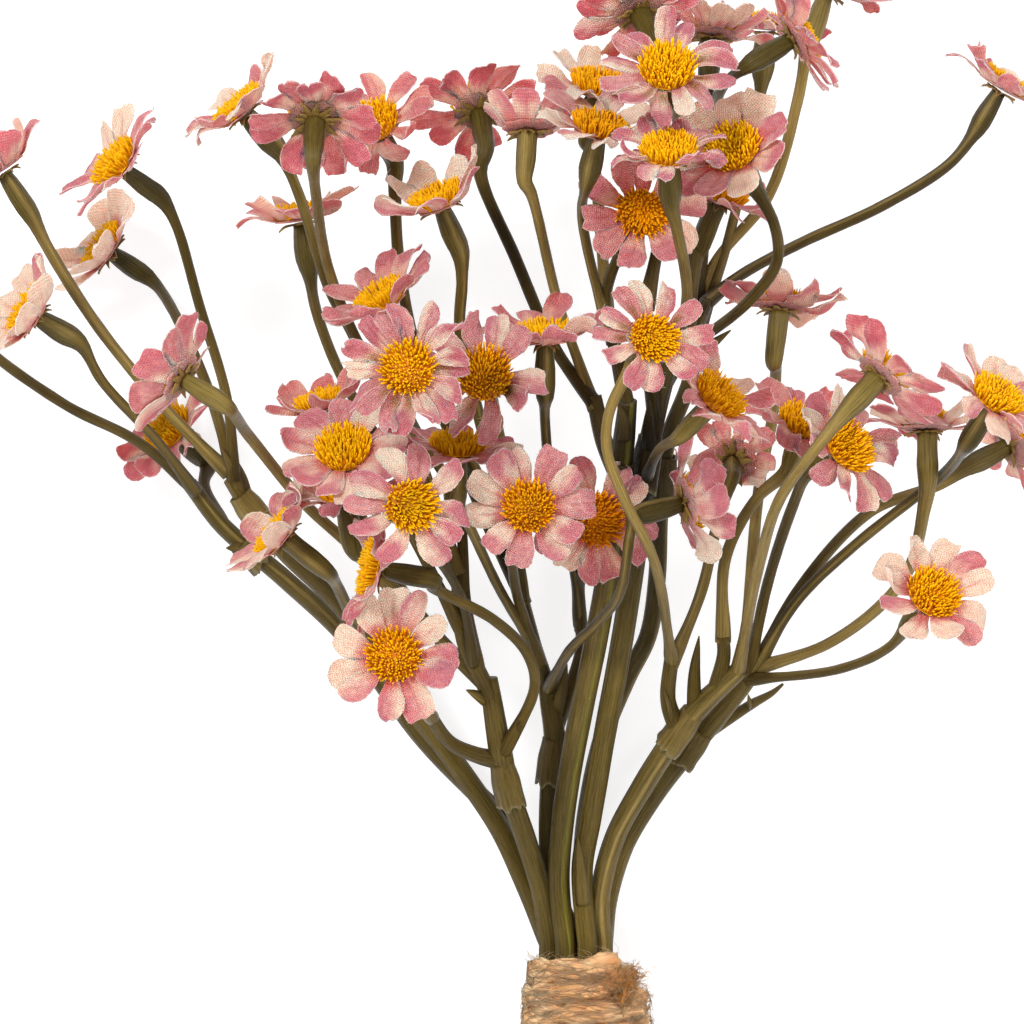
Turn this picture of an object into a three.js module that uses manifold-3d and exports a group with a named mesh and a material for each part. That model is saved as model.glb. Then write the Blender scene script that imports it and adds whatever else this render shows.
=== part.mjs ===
// A tied bunch of fabric daisies lying on its side. Millimetres, +Z up, resting on z = 0.
// Places are given as seen from straight above: column and row of the reference view, then height.
import * as THREE from "three";
import { mergeVertices } from "three/addons/utils/BufferGeometryUtils.js";
import Module from "manifold-3d";

const wasm = await Module();
wasm.setup();

// Reference view: its scale, its middle and how far above the bunch the eye is.
const MM_PER_STEP = 0.2;
const VIEW_MIDDLE = 512;
const EYE_DISTANCE = 1400;
const TRUE_SCALE_HEIGHT = 50;
const ORIGIN_COLUMN = 478;
const ORIGIN_ROW = 686;

// Flower head.
const HEAD_RADIUS = 14.4;
const HUB_RADIUS = 4.7;
const HUB_HEIGHT = 0.9;
const PETAL_ROOT_HALF = 1.1;
const PETAL_WIDE_AT = 10.4;
const PETAL_WIDE_HALF = 2.75;
const PETAL_TIP_HALF = 1.6;
const PETAL_DEPTH = 1.1;
const DISC_RADIUS = 5.4;
const DISC_HEIGHT = 3.7;

// Moulded stems.
const SEAT_GAP = 0.3;
const SEPAL_REACH = 4.4;
const CUP_BULGE = 2.8;
const CUP_LENGTH = 10.5;
const SEPALS = 5;
const BRANCH_RADIUS = 1.3;
const BRANCH_ROOT_RADIUS = 1.6;
const BRANCH_SIDES = 4;
const STEM_RADIUS = 2.1;
const STEM_SIDES = 6;
const SLEEVE_RADIUS = 3.1;
const CURVE_STEPS = 5;
const BRANCH_SLACK = 0.9;
const STEM_SLACK = 0.6;

// Jute tie.
const TIE_COLUMN = 585;
const TIE_TOP_ROW = 950;
const TIE_BOTTOM_ROW = 1130;
const TIE_RADIUS = 13;
const TIE_RIPPLE = 0.7;
const TIE_ROUNDING = 0.9;
const TIE_TURNS = 7;
const TIE_SIDES = 14;
const STEM_RING_COLUMN = 576;
const STEM_RING_RADIUS = 5.95;
const TIE_HOLE_RADIUS = 8.6;

const PETAL_PINK = { color: 0xd48a96, roughness: 0.85, metalness: 0 };
const STEM_OLIVE = { color: 0x5f5738, roughness: 0.42, metalness: 0 };
const JUTE_TAN = { color: 0xc49a6c, roughness: 0.95, metalness: 0 };

// One stem of the bunch each: its slot in the tie (degrees round the ring, or the middle),
// where its cut end lies, and the way it takes up to its own top.
const STEMS = [
  {
    name: "stem_left_front", slot: 157.5, end: 1362,
    way: [[541, 890, 18, 2.1], [526, 840, 21, 2.1], [509, 790, 25, 2.2], [500, 749, 28, 2.4],
      [492, 700, 31, 2.0], [489, 678, 32, 1.7]],
    sleeve: [[512, 806, 24], [502, 762, 27]],
    limbs: [
      [[492, 700, 31, 2.0], [478, 672, 34, 1.8], [463, 640, 36, 1.6], [457, 563, 42, 1.5]],
      [[502, 760, 27, 2.2], [478, 755, 28, 1.8], [450, 742, 32, 1.5], [428, 712, 40, 1.4]],
      [[490, 690, 31, 1.8], [440, 640, 33, 1.5], [400, 590, 37, 1.4]],
    ],
    stubs: [[[505, 745, 29], [520, 722, 35]], [[484, 700, 32], [466, 690, 38]]],
  },
  {
    name: "stem_far_left", slot: 202.5, end: 1391,
    way: [[528, 890, 13, 2.1], [500, 829, 14, 2.1], [470, 783, 16, 2.1], [418, 712, 20, 2.1],
      [340, 604, 28, 2.0], [284, 550, 33, 1.9], [252, 511, 36, 1.9], [231, 478, 38, 1.7]],
    sleeve: [[262, 523, 35], [240, 494, 37]],
    limbs: [],
    stubs: [[[240, 494, 38], [221, 446, 43]], [[246, 500, 38], [238, 462, 34]]],
  },
  {
    name: "stem_low_left", slot: 247.5, end: 1340,
    way: [[548, 890, 8, 2.1], [520, 835, 7, 2.1], [484, 800, 7, 2.1], [424, 738, 9, 2.1],
      [350, 640, 14, 2.0], [284, 578, 19, 1.9], [223, 526, 23, 1.8], [190, 484, 26, 1.6]],
    sleeve: [[262, 562, 20], [240, 543, 22]],
    limbs: [],
    stubs: [[[250, 552, 22], [226, 548, 26]]],
  },
  {
    name: "stem_middle", slot: "middle", end: 1400,
    way: [[553, 884, 13, 2.1], [549, 838, 14, 2.1], [551, 782, 16, 2.2], [555, 740, 18, 2.3],
      [549, 700, 20, 1.9], [546, 676, 21, 1.7]],
    sleeve: [[550, 784, 16], [555, 738, 18]],
    limbs: [
      [[555, 730, 19, 1.8], [567, 696, 17, 1.5], [581, 650, 18, 1.4], [580, 612, 21, 1.4]],
      [[547, 684, 21, 1.7], [536, 648, 24, 1.4], [520, 590, 30, 1.4]],
    ],
    stubs: [[[556, 712, 20], [567, 664, 26]]],
  },
  {
    name: "stem_centre_left", slot: 112.5, end: 1378,
    way: [[559, 880, 21, 2.2], [563, 820, 25, 2.3], [574, 749, 31, 2.3], [596, 640, 40, 2.3],
      [610, 560, 46, 2.3], [618, 500, 50, 2.3], [624, 440, 54, 2.2], [628, 400, 57, 1.8]],
    sleeve: [[616, 512, 49], [623, 462, 53]],
    limbs: [
      [[620, 480, 51, 2.0], [604, 440, 46, 1.9], [594, 396, 46, 1.7]],
      [[628, 410, 57, 1.8], [616, 350, 51, 1.5], [606, 310, 50, 1.4]],
    ],
    stubs: [[[624, 440, 56], [618, 404, 63]]],
  },
  {
    name: "stem_centre_right", slot: 67.5, end: 1352,
    way: [[582, 870, 20, 2.2], [590, 820, 23, 2.3], [602, 749, 28, 2.3], [622, 640, 36, 2.3],
      [634, 560, 41, 2.3], [641, 500, 45, 2.3], [650, 440, 49, 2.2], [664, 380, 54, 2.0],
      [676, 344, 58, 1.8]],
    sleeve: [[642, 490, 46], [651, 436, 49]],
    limbs: [
      [[656, 420, 51, 1.8], [648, 350, 60, 1.5], [646, 300, 66, 1.4]],
      [[664, 384, 54, 1.8], [690, 340, 48, 1.6], [706, 302, 42, 1.5]],
    ],
    stubs: [[[650, 452, 50], [650, 400, 60]], [[583, 905, 21], [578, 838, 28]],
      [[676, 366, 52], [731, 330, 58]]],
  },
  {
    name: "stem_right_front", slot: 22.5, end: 1384,
    way: [[600, 900, 17, 2.1], [614, 840, 20, 2.1], [642, 787, 23, 2.2], [674, 738, 27, 2.3],
      [700, 706, 31, 2.3], [741, 668, 36, 1.8]],
    sleeve: [[668, 747, 26], [694, 712, 30]],
    limbs: [
      [[678, 730, 28, 2.1], [668, 700, 32, 1.7], [672, 652, 38, 1.6]],
      [[716, 690, 33, 1.9], [724, 655, 37, 1.5], [723, 636, 39, 1.4]],
    ],
    stubs: [[[694, 706, 31], [699, 636, 40]], [[672, 718, 30], [664, 690, 37]]],
  },
  {
    name: "stem_right_rear", slot: 337.5, end: 1331,
    way: [[607, 900, 9.6, 2.1], [624, 845, 10, 2.1], [652, 797, 12, 2.2], [686, 752, 16, 2.3],
      [712, 722, 20, 2.3], [744, 684, 24, 1.8], [756, 668, 26, 1.6]],
    sleeve: [[680, 762, 15], [704, 730, 19]],
    limbs: [
      [[698, 738, 18, 1.7], [724, 722, 16, 1.3], [752, 704, 16, 1.2], [780, 690, 17, 0.9]],
    ],
    stubs: [[[750, 704, 16], [748, 694, 20]]],
  },
  {
    name: "stem_centre_rear", slot: 292.5, end: 1370,
    way: [[583, 880, 7.6, 2.1], [586, 820, 8, 2.0], [602, 740, 13, 1.9], [626, 680, 17, 1.9],
      [648, 636, 20, 1.8], [657, 580, 24, 1.8], [660, 507, 29, 1.8], [668, 440, 33, 1.7],
      [690, 380, 36, 1.6], [698, 330, 38, 1.5]],
    sleeve: [[660, 500, 29], [666, 456, 32]],
    limbs: [],
    stubs: [[[662, 490, 30], [680, 466, 24]]],
  },
];

// One flower each: the middle of its back, the way it faces (right, up the bunch, towards the eye),
// how far its petal tips rise, the points its branch passes and the point where it joins the stem.
const FLOWERS = [
  { id: "a", stem: "stem_far_left", back: [3, 172, 46], faces: [-0.54, 0.84, 0.1], rise: 3.4,
    via: [[48, 248], [97, 325], [163, 406]], joins: [229, 474, 38] },
  { id: "b", stem: "stem_far_left", back: [122, 168, 62], faces: [-0.72, 0.56, 0.4], rise: 2.2,
    via: [[176, 225], [199, 304], [227, 399]], joins: [234, 480, 39] },
  { id: "c", stem: "stem_far_left", back: [110, 252, 22], faces: [-0.79, 0.54, 0.28], rise: 2.6,
    via: [[179, 322, 25], [212, 400, 35]], joins: [236, 486, 36], rests: true },
  { id: "z", stem: "stem_low_left", back: [-51.5, 292, 34], faces: [-0.62, 0.76, 0.15], rise: 4.4,
    via: [[-18, 342], [64, 404, 33], [135, 440, 31]], joins: [193, 487, 25] },
  { id: "d", stem: "stem_low_left", back: [36, 316, 58], faces: [-0.8, 0.5, 0.33], rise: 3.6,
    via: [[102, 381], [158, 442]], joins: [196, 492, 27] },
  { id: "f", stem: "stem_low_left", back: [174, 434, 12], faces: [-0.6, 0.5, 0.5], rise: 2.2,
    via: [[204, 484]], joins: [222, 524, 22] },
  { id: "k24", stem: "stem_far_left", back: [285, 538, 56], faces: [-0.76, 0.62, 0.2], rise: 3,
    via: [[336, 584, 44], [354, 620, 32]], joins: [375, 652, 24.5] },
  { id: "e", stem: "stem_left_front", back: [183, 379, 76], faces: [-0.8, 0.5, -0.35], rise: 2.4,
    via: [[250, 437, 54], [306, 505, 39], [353, 548, 36]], joins: [420, 617, 35] },
  { id: "k18", stem: "stem_left_front", back: [322, 410, 50], faces: [-0.3, 0.92, 0.2], rise: 2.4,
    size: 0.86, via: [[346, 470, 35], [374, 548, 33]], joins: [404, 596, 36] },
  { id: "k24b", stem: "stem_left_front", back: [344, 500, 50], faces: [-0.2, 0.93, 0.25], rise: 2.4,
    size: 0.9, via: [[362, 560, 42]], joins: [404, 600, 37] },
  { id: "g", stem: "stem_left_front", back: [245, 113, 68], faces: [-0.66, 0.75, 0.2], rise: 2.4,
    via: [[298, 192], [327, 284, 54], [352, 334, 47], [400, 430, 44]], joins: [457, 567, 42] },
  { id: "h", stem: "stem_left_front", back: [315, 121, 84], faces: [0.02, 0.74, -0.67], rise: -2.2,
    via: [[316, 195, 80], [329, 270, 59], [352, 330, 57], [412, 440, 50]], joins: [459, 573, 43] },
  { id: "i", stem: "stem_left_front", back: [301, 222, 42], faces: [-0.16, 0.97, 0.08], rise: 4,
    via: [[316, 310, 36], [339, 371, 31], [390, 460, 33]], joins: [457, 575, 41] },
  { id: "k19", stem: "stem_left_front", back: [345, 456, 78], faces: [-0.15, 0.65, 0.75], rise: 1.6,
    via: [[390, 494, 70], [416, 542, 50]], joins: [461, 630, 38] },
  { id: "k21", stem: "stem_left_front", back: [411, 507, 92], faces: [-0.05, 0.18, 0.98], rise: 1.2,
    size: 0.94,
    via: [[430, 545, 72], [462, 600, 50]], joins: [474, 664, 35] },
  { id: "k15", stem: "stem_left_front", back: [409, 370, 98], faces: [-0.1, 0.2, 0.97], rise: 1.4,
    via: [[406, 402, 72], [418, 434, 50], [456, 500, 46], [466, 600, 41]], joins: [478, 670, 34] },
  { id: "k25", stem: "stem_left_front", back: [380, 569, 75], faces: [-0.97, 0.2, 0.16], rise: 2.4,
    via: [[434, 587, 70], [494, 620, 58], [528, 655, 46], [534, 690, 38]], joins: [504, 752, 29] },
  { id: "k26", stem: "stem_left_front", back: [395, 657, 80], faces: [-0.08, 0.2, 0.97], rise: 1.6,
    via: [[408, 690]], joins: [432, 718, 39] },
  { id: "k14", stem: "stem_middle", back: [385, 305, 66], faces: [-0.5, 0.75, 0.4], rise: 2.8,
    via: [[424, 370, 52], [452, 440, 40], [494, 540, 33]], joins: [521, 594, 30] },
  { id: "j", stem: "stem_middle", back: [376, 128, 56], faces: [-0.34, 0.6, 0.72], rise: 1.8,
    via: [[395, 196], [400, 270], [420, 360], [480, 480]], joins: [524, 604, 29] },
  { id: "m", stem: "stem_middle", back: [441, 206, 70], faces: [-0.36, 0.87, 0.34], rise: 4.4,
    via: [[462, 281], [460, 330], [480, 420], [506, 520]], joins: [520, 592, 30] },
  { id: "v", stem: "stem_middle", back: [485, 377, 80], faces: [-0.1, 0.2, 0.97], rise: 1.4,
    via: [[496, 420, 56], [512, 500, 44]], joins: [522, 598, 30] },
  { id: "k20", stem: "stem_middle", back: [458, 454, 70], faces: [0.05, 0.93, 0.33], rise: 2.2,
    via: [[466, 520], [500, 590]], joins: [536, 650, 24] },
  { id: "k22", stem: "stem_middle", back: [529, 508, 84], faces: [0.02, 0.1, 0.99], rise: 1.2,
    size: 0.95,
    via: [[515, 534, 64], [516, 590, 40]], joins: [540, 664, 23] },
  { id: "u", stem: "stem_middle", back: [545, 341, 66], faces: [0, 0.95, 0.28], rise: 2.6,
    via: [[545, 420, 56], [552, 490, 46], [574, 570, 30]], joins: [580, 625, 20] },
  { id: "k23", stem: "stem_middle", back: [594, 521, 57], faces: [0.3, 0.1, 0.94], rise: 1.6,
    via: [[584, 545, 42], [580, 590, 26]], joins: [581, 630, 20] },
  { id: "ba", stem: "stem_middle", back: [683, 503, 64], faces: [0.9, 0.25, -0.35], rise: 3.6,
    via: [[630, 535, 78], [621, 590, 71], [598, 622, 56], [570, 650, 41]], joins: [549, 688, 22] },
  { id: "k", stem: "stem_centre_left", back: [480, 113, 38], faces: [-0.1, 0.72, -0.66], rise: 1.2,
    via: [[480, 171, 45], [515, 257, 42], [556, 350, 42]], joins: [595, 404, 46] },
  { id: "l", stem: "stem_centre_left", back: [528, 132, 56], faces: [0.06, 0.95, -0.3], rise: 8.2,
    size: 0.76, via: [[531, 193, 58], [558, 303, 46], [580, 366, 44]], joins: [595, 410, 46] },
  { id: "n1", stem: "stem_centre_left", back: [597, 92, 68], faces: [0.16, 0.9, 0.4], rise: 3,
    via: [[594, 160, 56], [602, 250, 50]], joins: [607, 316, 50] },
  { id: "n2", stem: "stem_centre_left", back: [598, 134, 84], faces: [0.2, 0.88, 0.39], rise: 3.4,
    via: [[582, 216, 68], [598, 292, 55]], joins: [611, 332, 51] },
  { id: "r", stem: "stem_centre_left", back: [641, 215, 70], faces: [0.2, 0.42, 0.88], rise: 1.8,
    via: [[616, 262, 59], [606, 300, 53]], joins: [614, 344, 51] },
  { id: "o", stem: "stem_centre_right", back: [667, 74, 98], faces: [0.03, 0.58, 0.81], rise: 1.2,
    via: [[675, 112, 75], [678, 150, 64], [662, 220, 62]], joins: [647, 310, 65] },
  { id: "ta", stem: "stem_centre_right", back: [640, 13, 76], faces: [-0.3, 0.72, -0.62], rise: 1.6,
    via: [[671, 70, 79], [678, 110, 72], [681, 150, 65], [664, 220, 63]], joins: [646, 306, 66] },
  { id: "p", stem: "stem_centre_right", back: [669, 158, 104], faces: [-0.05, 0.84, 0.54], rise: 1.8,
    via: [[676, 225, 97], [687, 290, 82]], joins: [676, 350, 58] },
  { id: "q", stem: "stem_centre_right", back: [735, 154, 88], faces: [-0.35, 0.52, 0.78], rise: 1.8,
    via: [[774, 224, 80], [777, 262, 76], [750, 300, 71]], joins: [683, 352, 49.5] },
  { id: "x", stem: "stem_centre_right", back: [717, 202, 50], faces: [0.35, 0.9, 0.2], rise: 2.2,
    via: [[697, 250]], joins: [687, 346, 49] },
  { id: "y", stem: "stem_centre_right", back: [1000, 90, 22], faces: [0.5, 0.84, 0.1], rise: 3.2,
    via: [[948, 165], [880, 207], [803, 242, 28], [741, 275, 35]], joins: [705, 304, 42], rests: true },
  { id: "tb", stem: "stem_centre_rear", back: [712, 38, 56], faces: [0.1, 0.96, -0.25], rise: 3,
    via: [[714, 110, 38], [711, 175, 30], [704, 250, 32]], joins: [697, 336, 38] },
  { id: "te", stem: "stem_centre_rear", back: [766, 31, 26], faces: [0.08, 0.98, 0.1], rise: 2.4,
    via: [[758, 110, 26], [728, 240, 32]], joins: [696, 344, 37] },
  { id: "tc", stem: "stem_centre_rear", back: [792, 40, 76], faces: [0.84, 0.5, -0.15], rise: 2.6,
    via: [[722, 88, 66], [714, 150, 36], [704, 240, 34]], joins: [695, 350, 37] },
  { id: "td", stem: "stem_centre_rear", back: [826, -6, 44], faces: [0.33, 0.94, 0.05], rise: 2.8,
    via: [[797, 103, 40], [768, 196, 31], [712, 269, 33]], joins: [694, 356, 37] },
  { id: "w", stem: "stem_centre_right", back: [714, 402, 84], faces: [0.6, 0.62, 0.5], rise: 2,
    via: [[660, 449, 66]], joins: [645, 480, 47] },
  { id: "t", stem: "stem_right_front", back: [651, 340, 104], faces: [0.25, 0.35, 0.9], rise: 1.2,
    size: 0.88,
    via: [[610, 410, 92], [607, 450, 90], [625, 500, 88], [652, 555, 78]], joins: [672, 660, 37] },
  { id: "bb", stem: "stem_right_front", back: [732, 462, 40], faces: [0.05, 0.35, -0.93], rise: 4,
    size: 0.75, via: [[718, 520, 48], [701, 592, 42]], joins: [671, 666, 36] },
  { id: "k2", stem: "stem_right_front", back: [803, 429, 51.5], faces: [0.3, 0.8, 0.5], rise: 2,
    via: [[757, 498], [726, 557]], joins: [723, 642, 38] },
  { id: "aa", stem: "stem_right_front", back: [878, 378, 90], faces: [0.64, 0.67, -0.35], rise: 1.4,
    via: [[821, 442, 94], [782, 495, 84], [758, 569, 62]], joins: [738, 670, 36] },
  { id: "s", stem: "stem_right_rear", back: [780, 310, 49.4], faces: [0.12, 0.97, -0.18], rise: 2.6,
    via: [[776, 368, 38], [772, 420, 29], [760, 480, 25]], joins: [742, 686, 24] },
  { id: "ae", stem: "stem_right_rear", back: [843, 450, 73], faces: [0.6, 0.4, 0.69], rise: 1.8,
    via: [[792, 508, 54], [766, 590, 36]], joins: [748, 679, 25] },
  { id: "ab", stem: "stem_right_rear", back: [993, 403, 78], faces: [0.45, 0.74, 0.5], rise: 2.4,
    via: [[940, 477, 52], [855, 545, 42], [797, 601, 32]], joins: [754, 671, 26] },
  { id: "ac", stem: "stem_right_rear", back: [1008, 446, 34], faces: [0.79, 0.4, -0.45], rise: 2.2,
    via: [[941, 484], [870, 512], [797, 592]], joins: [757, 667, 26] },
  { id: "ad", stem: "stem_right_rear", back: [927, 431, 55], faces: [0, 0.99, -0.12], rise: 2.8,
    via: [[924, 508, 57], [904, 578, 46], [831, 642, 31]], joins: [755, 669, 26] },
  { id: "af", stem: "stem_right_rear", back: [930, 598, 74], faces: [0.35, 0.5, 0.79], rise: 1.8,
    via: [[888, 648], [840, 669]], joins: [748, 680, 25] },
];

// Neighbouring heads whose petals are pressed into each other share one solid.
const PRESSED_TOGETHER = [["n1", "n2"], ["k24", "k24b"], ["k25", "k26"]];

const BUNCH_SEED = 7;

function randomSource(seed) {
  let state = seed >>> 0;
  return () => {
    state = (state + 0x6d2b79f5) >>> 0;
    let mixed = Math.imul(state ^ (state >>> 15), 1 | state);
    mixed = (mixed + Math.imul(mixed ^ (mixed >>> 7), 61 | mixed)) ^ mixed;
    return ((mixed ^ (mixed >>> 14)) >>> 0) / 4294967296;
  };
}

// A point of the reference view at a height, in millimetres.
function seen(column, row, height) {
  const shrink = 1 - (height - TRUE_SCALE_HEIGHT) / EYE_DISTANCE;
  const x = (column - VIEW_MIDDLE) * MM_PER_STEP * shrink;
  const y = (VIEW_MIDDLE - row) * MM_PER_STEP * shrink;
  const shiftX = (VIEW_MIDDLE - ORIGIN_COLUMN) * MM_PER_STEP;
  const shiftY = (ORIGIN_ROW - VIEW_MIDDLE) * MM_PER_STEP;
  return new THREE.Vector3(x + shiftX, y + shiftY, height);
}

// Collects corners and triangles of one closed body.
class Body {
  constructor() {
    this.corners = [];
    this.triangles = [];
  }

  corner(point) {
    this.corners.push(point.x, point.y, point.z);
    return this.corners.length / 3 - 1;
  }

  triangle(a, b, c) {
    this.triangles.push(a, b, c);
  }

  quad(a, b, c, d) {
    this.triangle(a, b, c);
    this.triangle(a, c, d);
  }

  fan(ring, flip) {
    for (let i = 1; i < ring.length - 1; i += 1) {
      if (flip) {
        this.triangle(ring[0], ring[i + 1], ring[i]);
      } else {
        this.triangle(ring[0], ring[i], ring[i + 1]);
      }
    }
  }

  solid() {
    const mesh = new wasm.Mesh({
      numProp: 3,
      vertProperties: new Float32Array(this.corners),
      triVerts: new Uint32Array(this.triangles),
    });
    return new wasm.Manifold(mesh);
  }
}

// A tube through the given stations, each {at, radius}, with flat ends. A station can have an axis
// and a number of sides of its own.
function tube(stations, sides, firstAxis) {
  const body = new Body();
  const rings = [];
  let tangent = firstAxis ? firstAxis.clone() : stations[1].at.clone().sub(stations[0].at);
  tangent.normalize();
  const helper = Math.abs(tangent.z) < 0.8 ? new THREE.Vector3(0, 0, 1) : new THREE.Vector3(1, 0, 0);
  let across = helper.cross(tangent).normalize();
  stations.forEach((station, index) => {
    if (index > 0 || !firstAxis) {
      const before = stations[Math.max(index - 1, 0)].at;
      const after = stations[Math.min(index + 1, stations.length - 1)].at;
      tangent = station.axis ? station.axis.clone() : after.clone().sub(before).normalize();
    }
    across = across.clone().addScaledVector(tangent, -across.dot(tangent)).normalize();
    const up = new THREE.Vector3().crossVectors(tangent, across);
    const ring = [];
    const corners = station.sides ?? sides;
    for (let side = 0; side < corners; side += 1) {
      const angle = (2 * Math.PI * side) / corners;
      const point = station.at.clone();
      point.addScaledVector(across, station.radius * Math.cos(angle));
      point.addScaledVector(up, station.radius * Math.sin(angle));
      ring.push(body.corner(point));
    }
    rings.push(ring);
  });
  for (let i = 0; i < rings.length - 1; i += 1) {
    bridge(body, rings[i], rings[i + 1]);
  }
  body.fan(rings[0], true);
  body.fan(rings[rings.length - 1], false);
  return body.solid();
}

// Keeps only the points that a line needs to stay within the slack of its own shape.
function thinned(points, slack) {
  if (points.length < 3) {
    return points;
  }
  const chord = new THREE.Line3(points[0], points[points.length - 1]);
  const nearest = new THREE.Vector3();
  let worst = 0;
  let at = 0;
  for (let i = 1; i < points.length - 1; i += 1) {
    chord.closestPointToPoint(points[i], true, nearest);
    const off = nearest.distanceTo(points[i]);
    if (off > worst) {
      worst = off;
      at = i;
    }
  }
  if (worst < slack) {
    return [points[0], points[points.length - 1]];
  }
  const lower = thinned(points.slice(0, at + 1), slack);
  const upper = thinned(points.slice(at), slack);
  return [...lower, ...upper.slice(1)];
}

// A smooth line through the waypoints [column, row, height, radius] as stations of a tube.
function stationsAlong(waypoints, slack) {
  const curve = new THREE.CatmullRomCurve3(waypoints.map((point) => point.at), false, "centripetal");
  const spans = waypoints.length - 1;
  const count = spans * CURVE_STEPS;
  const line = [];
  for (let i = 0; i <= count; i += 1) {
    const share = i / count;
    const from = Math.min(Math.floor(share * spans), spans - 1);
    const part = share * spans - from;
    const at = curve.getPoint(share);
    at.radius = waypoints[from].radius + (waypoints[from + 1].radius - waypoints[from].radius) * part;
    line.push(at);
  }
  return thinned(line, slack).map((at) => ({ at, radius: at.radius }));
}

function axesFor(facing, roll) {
  const helper = Math.abs(facing.z) < 0.9 ? new THREE.Vector3(0, 0, 1) : new THREE.Vector3(0, 1, 0);
  const right = helper.cross(facing).normalize();
  const up = new THREE.Vector3().crossVectors(facing, right);
  const first = right.clone().multiplyScalar(Math.cos(roll)).addScaledVector(up, Math.sin(roll));
  const second = new THREE.Vector3().crossVectors(facing, first);
  return { first, second, facing };
}

// One flower head: a whorl of keeled petals round a hub, with a bumpy domed disc on it.
function flowerHead(back, facing, rise, size, seed) {
  const random = randomSource(seed);
  const spread = (amount) => (random() * 2 - 1) * amount;
  const petals = 9;
  const axes = axesFor(facing, random() * Math.PI);
  const place = (radius, angle, height, side) => {
    const out = axes.first.clone().multiplyScalar(Math.cos(angle));
    out.addScaledVector(axes.second, Math.sin(angle));
    const along = new THREE.Vector3().crossVectors(axes.facing, out);
    const point = back.clone().addScaledVector(out, radius);
    return point.addScaledVector(along, side).addScaledVector(axes.facing, height);
  };
  const body = new Body();
  const rows = [];
  for (let i = 0; i < petals; i += 1) {
    const angle = (2 * Math.PI * (i + spread(0.1))) / petals;
    const layer = i % 2 === 0 ? 0 : 0.5;
    const lift = rise + spread(0.7) + layer;
    const twist = spread(0.5);
    const reach = HEAD_RADIUS * size * (1 + spread(0.05));
    const wideAt = PETAL_WIDE_AT * size;
    const bent = angle + spread(0.05);
    const middle = HUB_HEIGHT + lift * 0.45 + 0.3;
    const tip = HUB_HEIGHT + lift;
    rows.push({
      angle,
      left0: body.corner(place(HUB_RADIUS, angle, HUB_HEIGHT, -PETAL_ROOT_HALF)),
      right0: body.corner(place(HUB_RADIUS, angle, HUB_HEIGHT, PETAL_ROOT_HALF)),
      keel0: body.corner(place(HUB_RADIUS, angle, 0, 0)),
      left1: body.corner(place(wideAt, bent, middle + twist, -PETAL_WIDE_HALF)),
      right1: body.corner(place(wideAt, bent, middle - twist, PETAL_WIDE_HALF)),
      keel1: body.corner(place(wideAt, bent, middle - PETAL_DEPTH, 0)),
      left2: body.corner(place(reach, bent, tip, -PETAL_TIP_HALF)),
      right2: body.corner(place(reach, bent, tip, PETAL_TIP_HALF)),
      keel2: body.corner(place(reach, bent, tip - PETAL_DEPTH * 0.8, 0)),
    });
  }
  const shoulder = [];
  const crown = [];
  rows.forEach((row, i) => {
    const next = rows[(i + 1) % petals];
    body.quad(row.left0, row.left1, row.right1, row.right0);
    body.quad(row.left1, row.left2, row.right2, row.right1);
    body.quad(row.right0, row.right1, row.keel1, row.keel0);
    body.quad(row.right1, row.right2, row.keel2, row.keel1);
    body.quad(row.keel0, row.keel1, row.left1, row.left0);
    body.quad(row.keel1, row.keel2, row.left2, row.left1);
    body.triangle(row.left2, row.keel2, row.right2);
    body.quad(row.right0, row.keel0, next.keel0, next.left0);
    const bump = i % 2 === 0 ? 0.35 : -0.2;
    shoulder.push(body.corner(place(DISC_RADIUS + bump, row.angle, HUB_HEIGHT + 1.2 + bump, 0)));
  });
  body.fan(rows.map((row) => row.keel0), true);
  const crownCount = 5;
  for (let i = 0; i < crownCount; i += 1) {
    const angle = (2 * Math.PI * (i + 0.25)) / crownCount;
    const height = DISC_HEIGHT - 0.4 + spread(0.3);
    crown.push(body.corner(place(DISC_RADIUS * 0.6, angle, height, 0)));
  }
  rows.forEach((row, i) => {
    const next = (i + 1) % petals;
    body.triangle(row.left0, row.right0, shoulder[i]);
    body.triangle(row.right0, rows[next].left0, shoulder[next]);
    body.triangle(row.right0, shoulder[next], shoulder[i]);
  });
  bridge(body, shoulder, crown);
  const top = body.corner(place(0, 0, DISC_HEIGHT, 0));
  for (let i = 0; i < crownCount; i += 1) {
    body.triangle(crown[i], crown[(i + 1) % crownCount], top);
  }
  return body.solid();
}

// Joins two rings of corners, the second above or inside the first.
function bridge(body, outer, inner) {
  let i = 0;
  let k = 0;
  while (i < outer.length || k < inner.length) {
    const outerShare = (i + 0.5) / outer.length;
    const innerShare = (k + 0.5) / inner.length;
    if (k >= inner.length || (i < outer.length && outerShare <= innerShare)) {
      body.triangle(outer[i], outer[(i + 1) % outer.length], inner[k % inner.length]);
      i += 1;
    } else {
      body.triangle(inner[(k + 1) % inner.length], inner[k], outer[i % outer.length]);
      k += 1;
    }
  }
}

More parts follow.
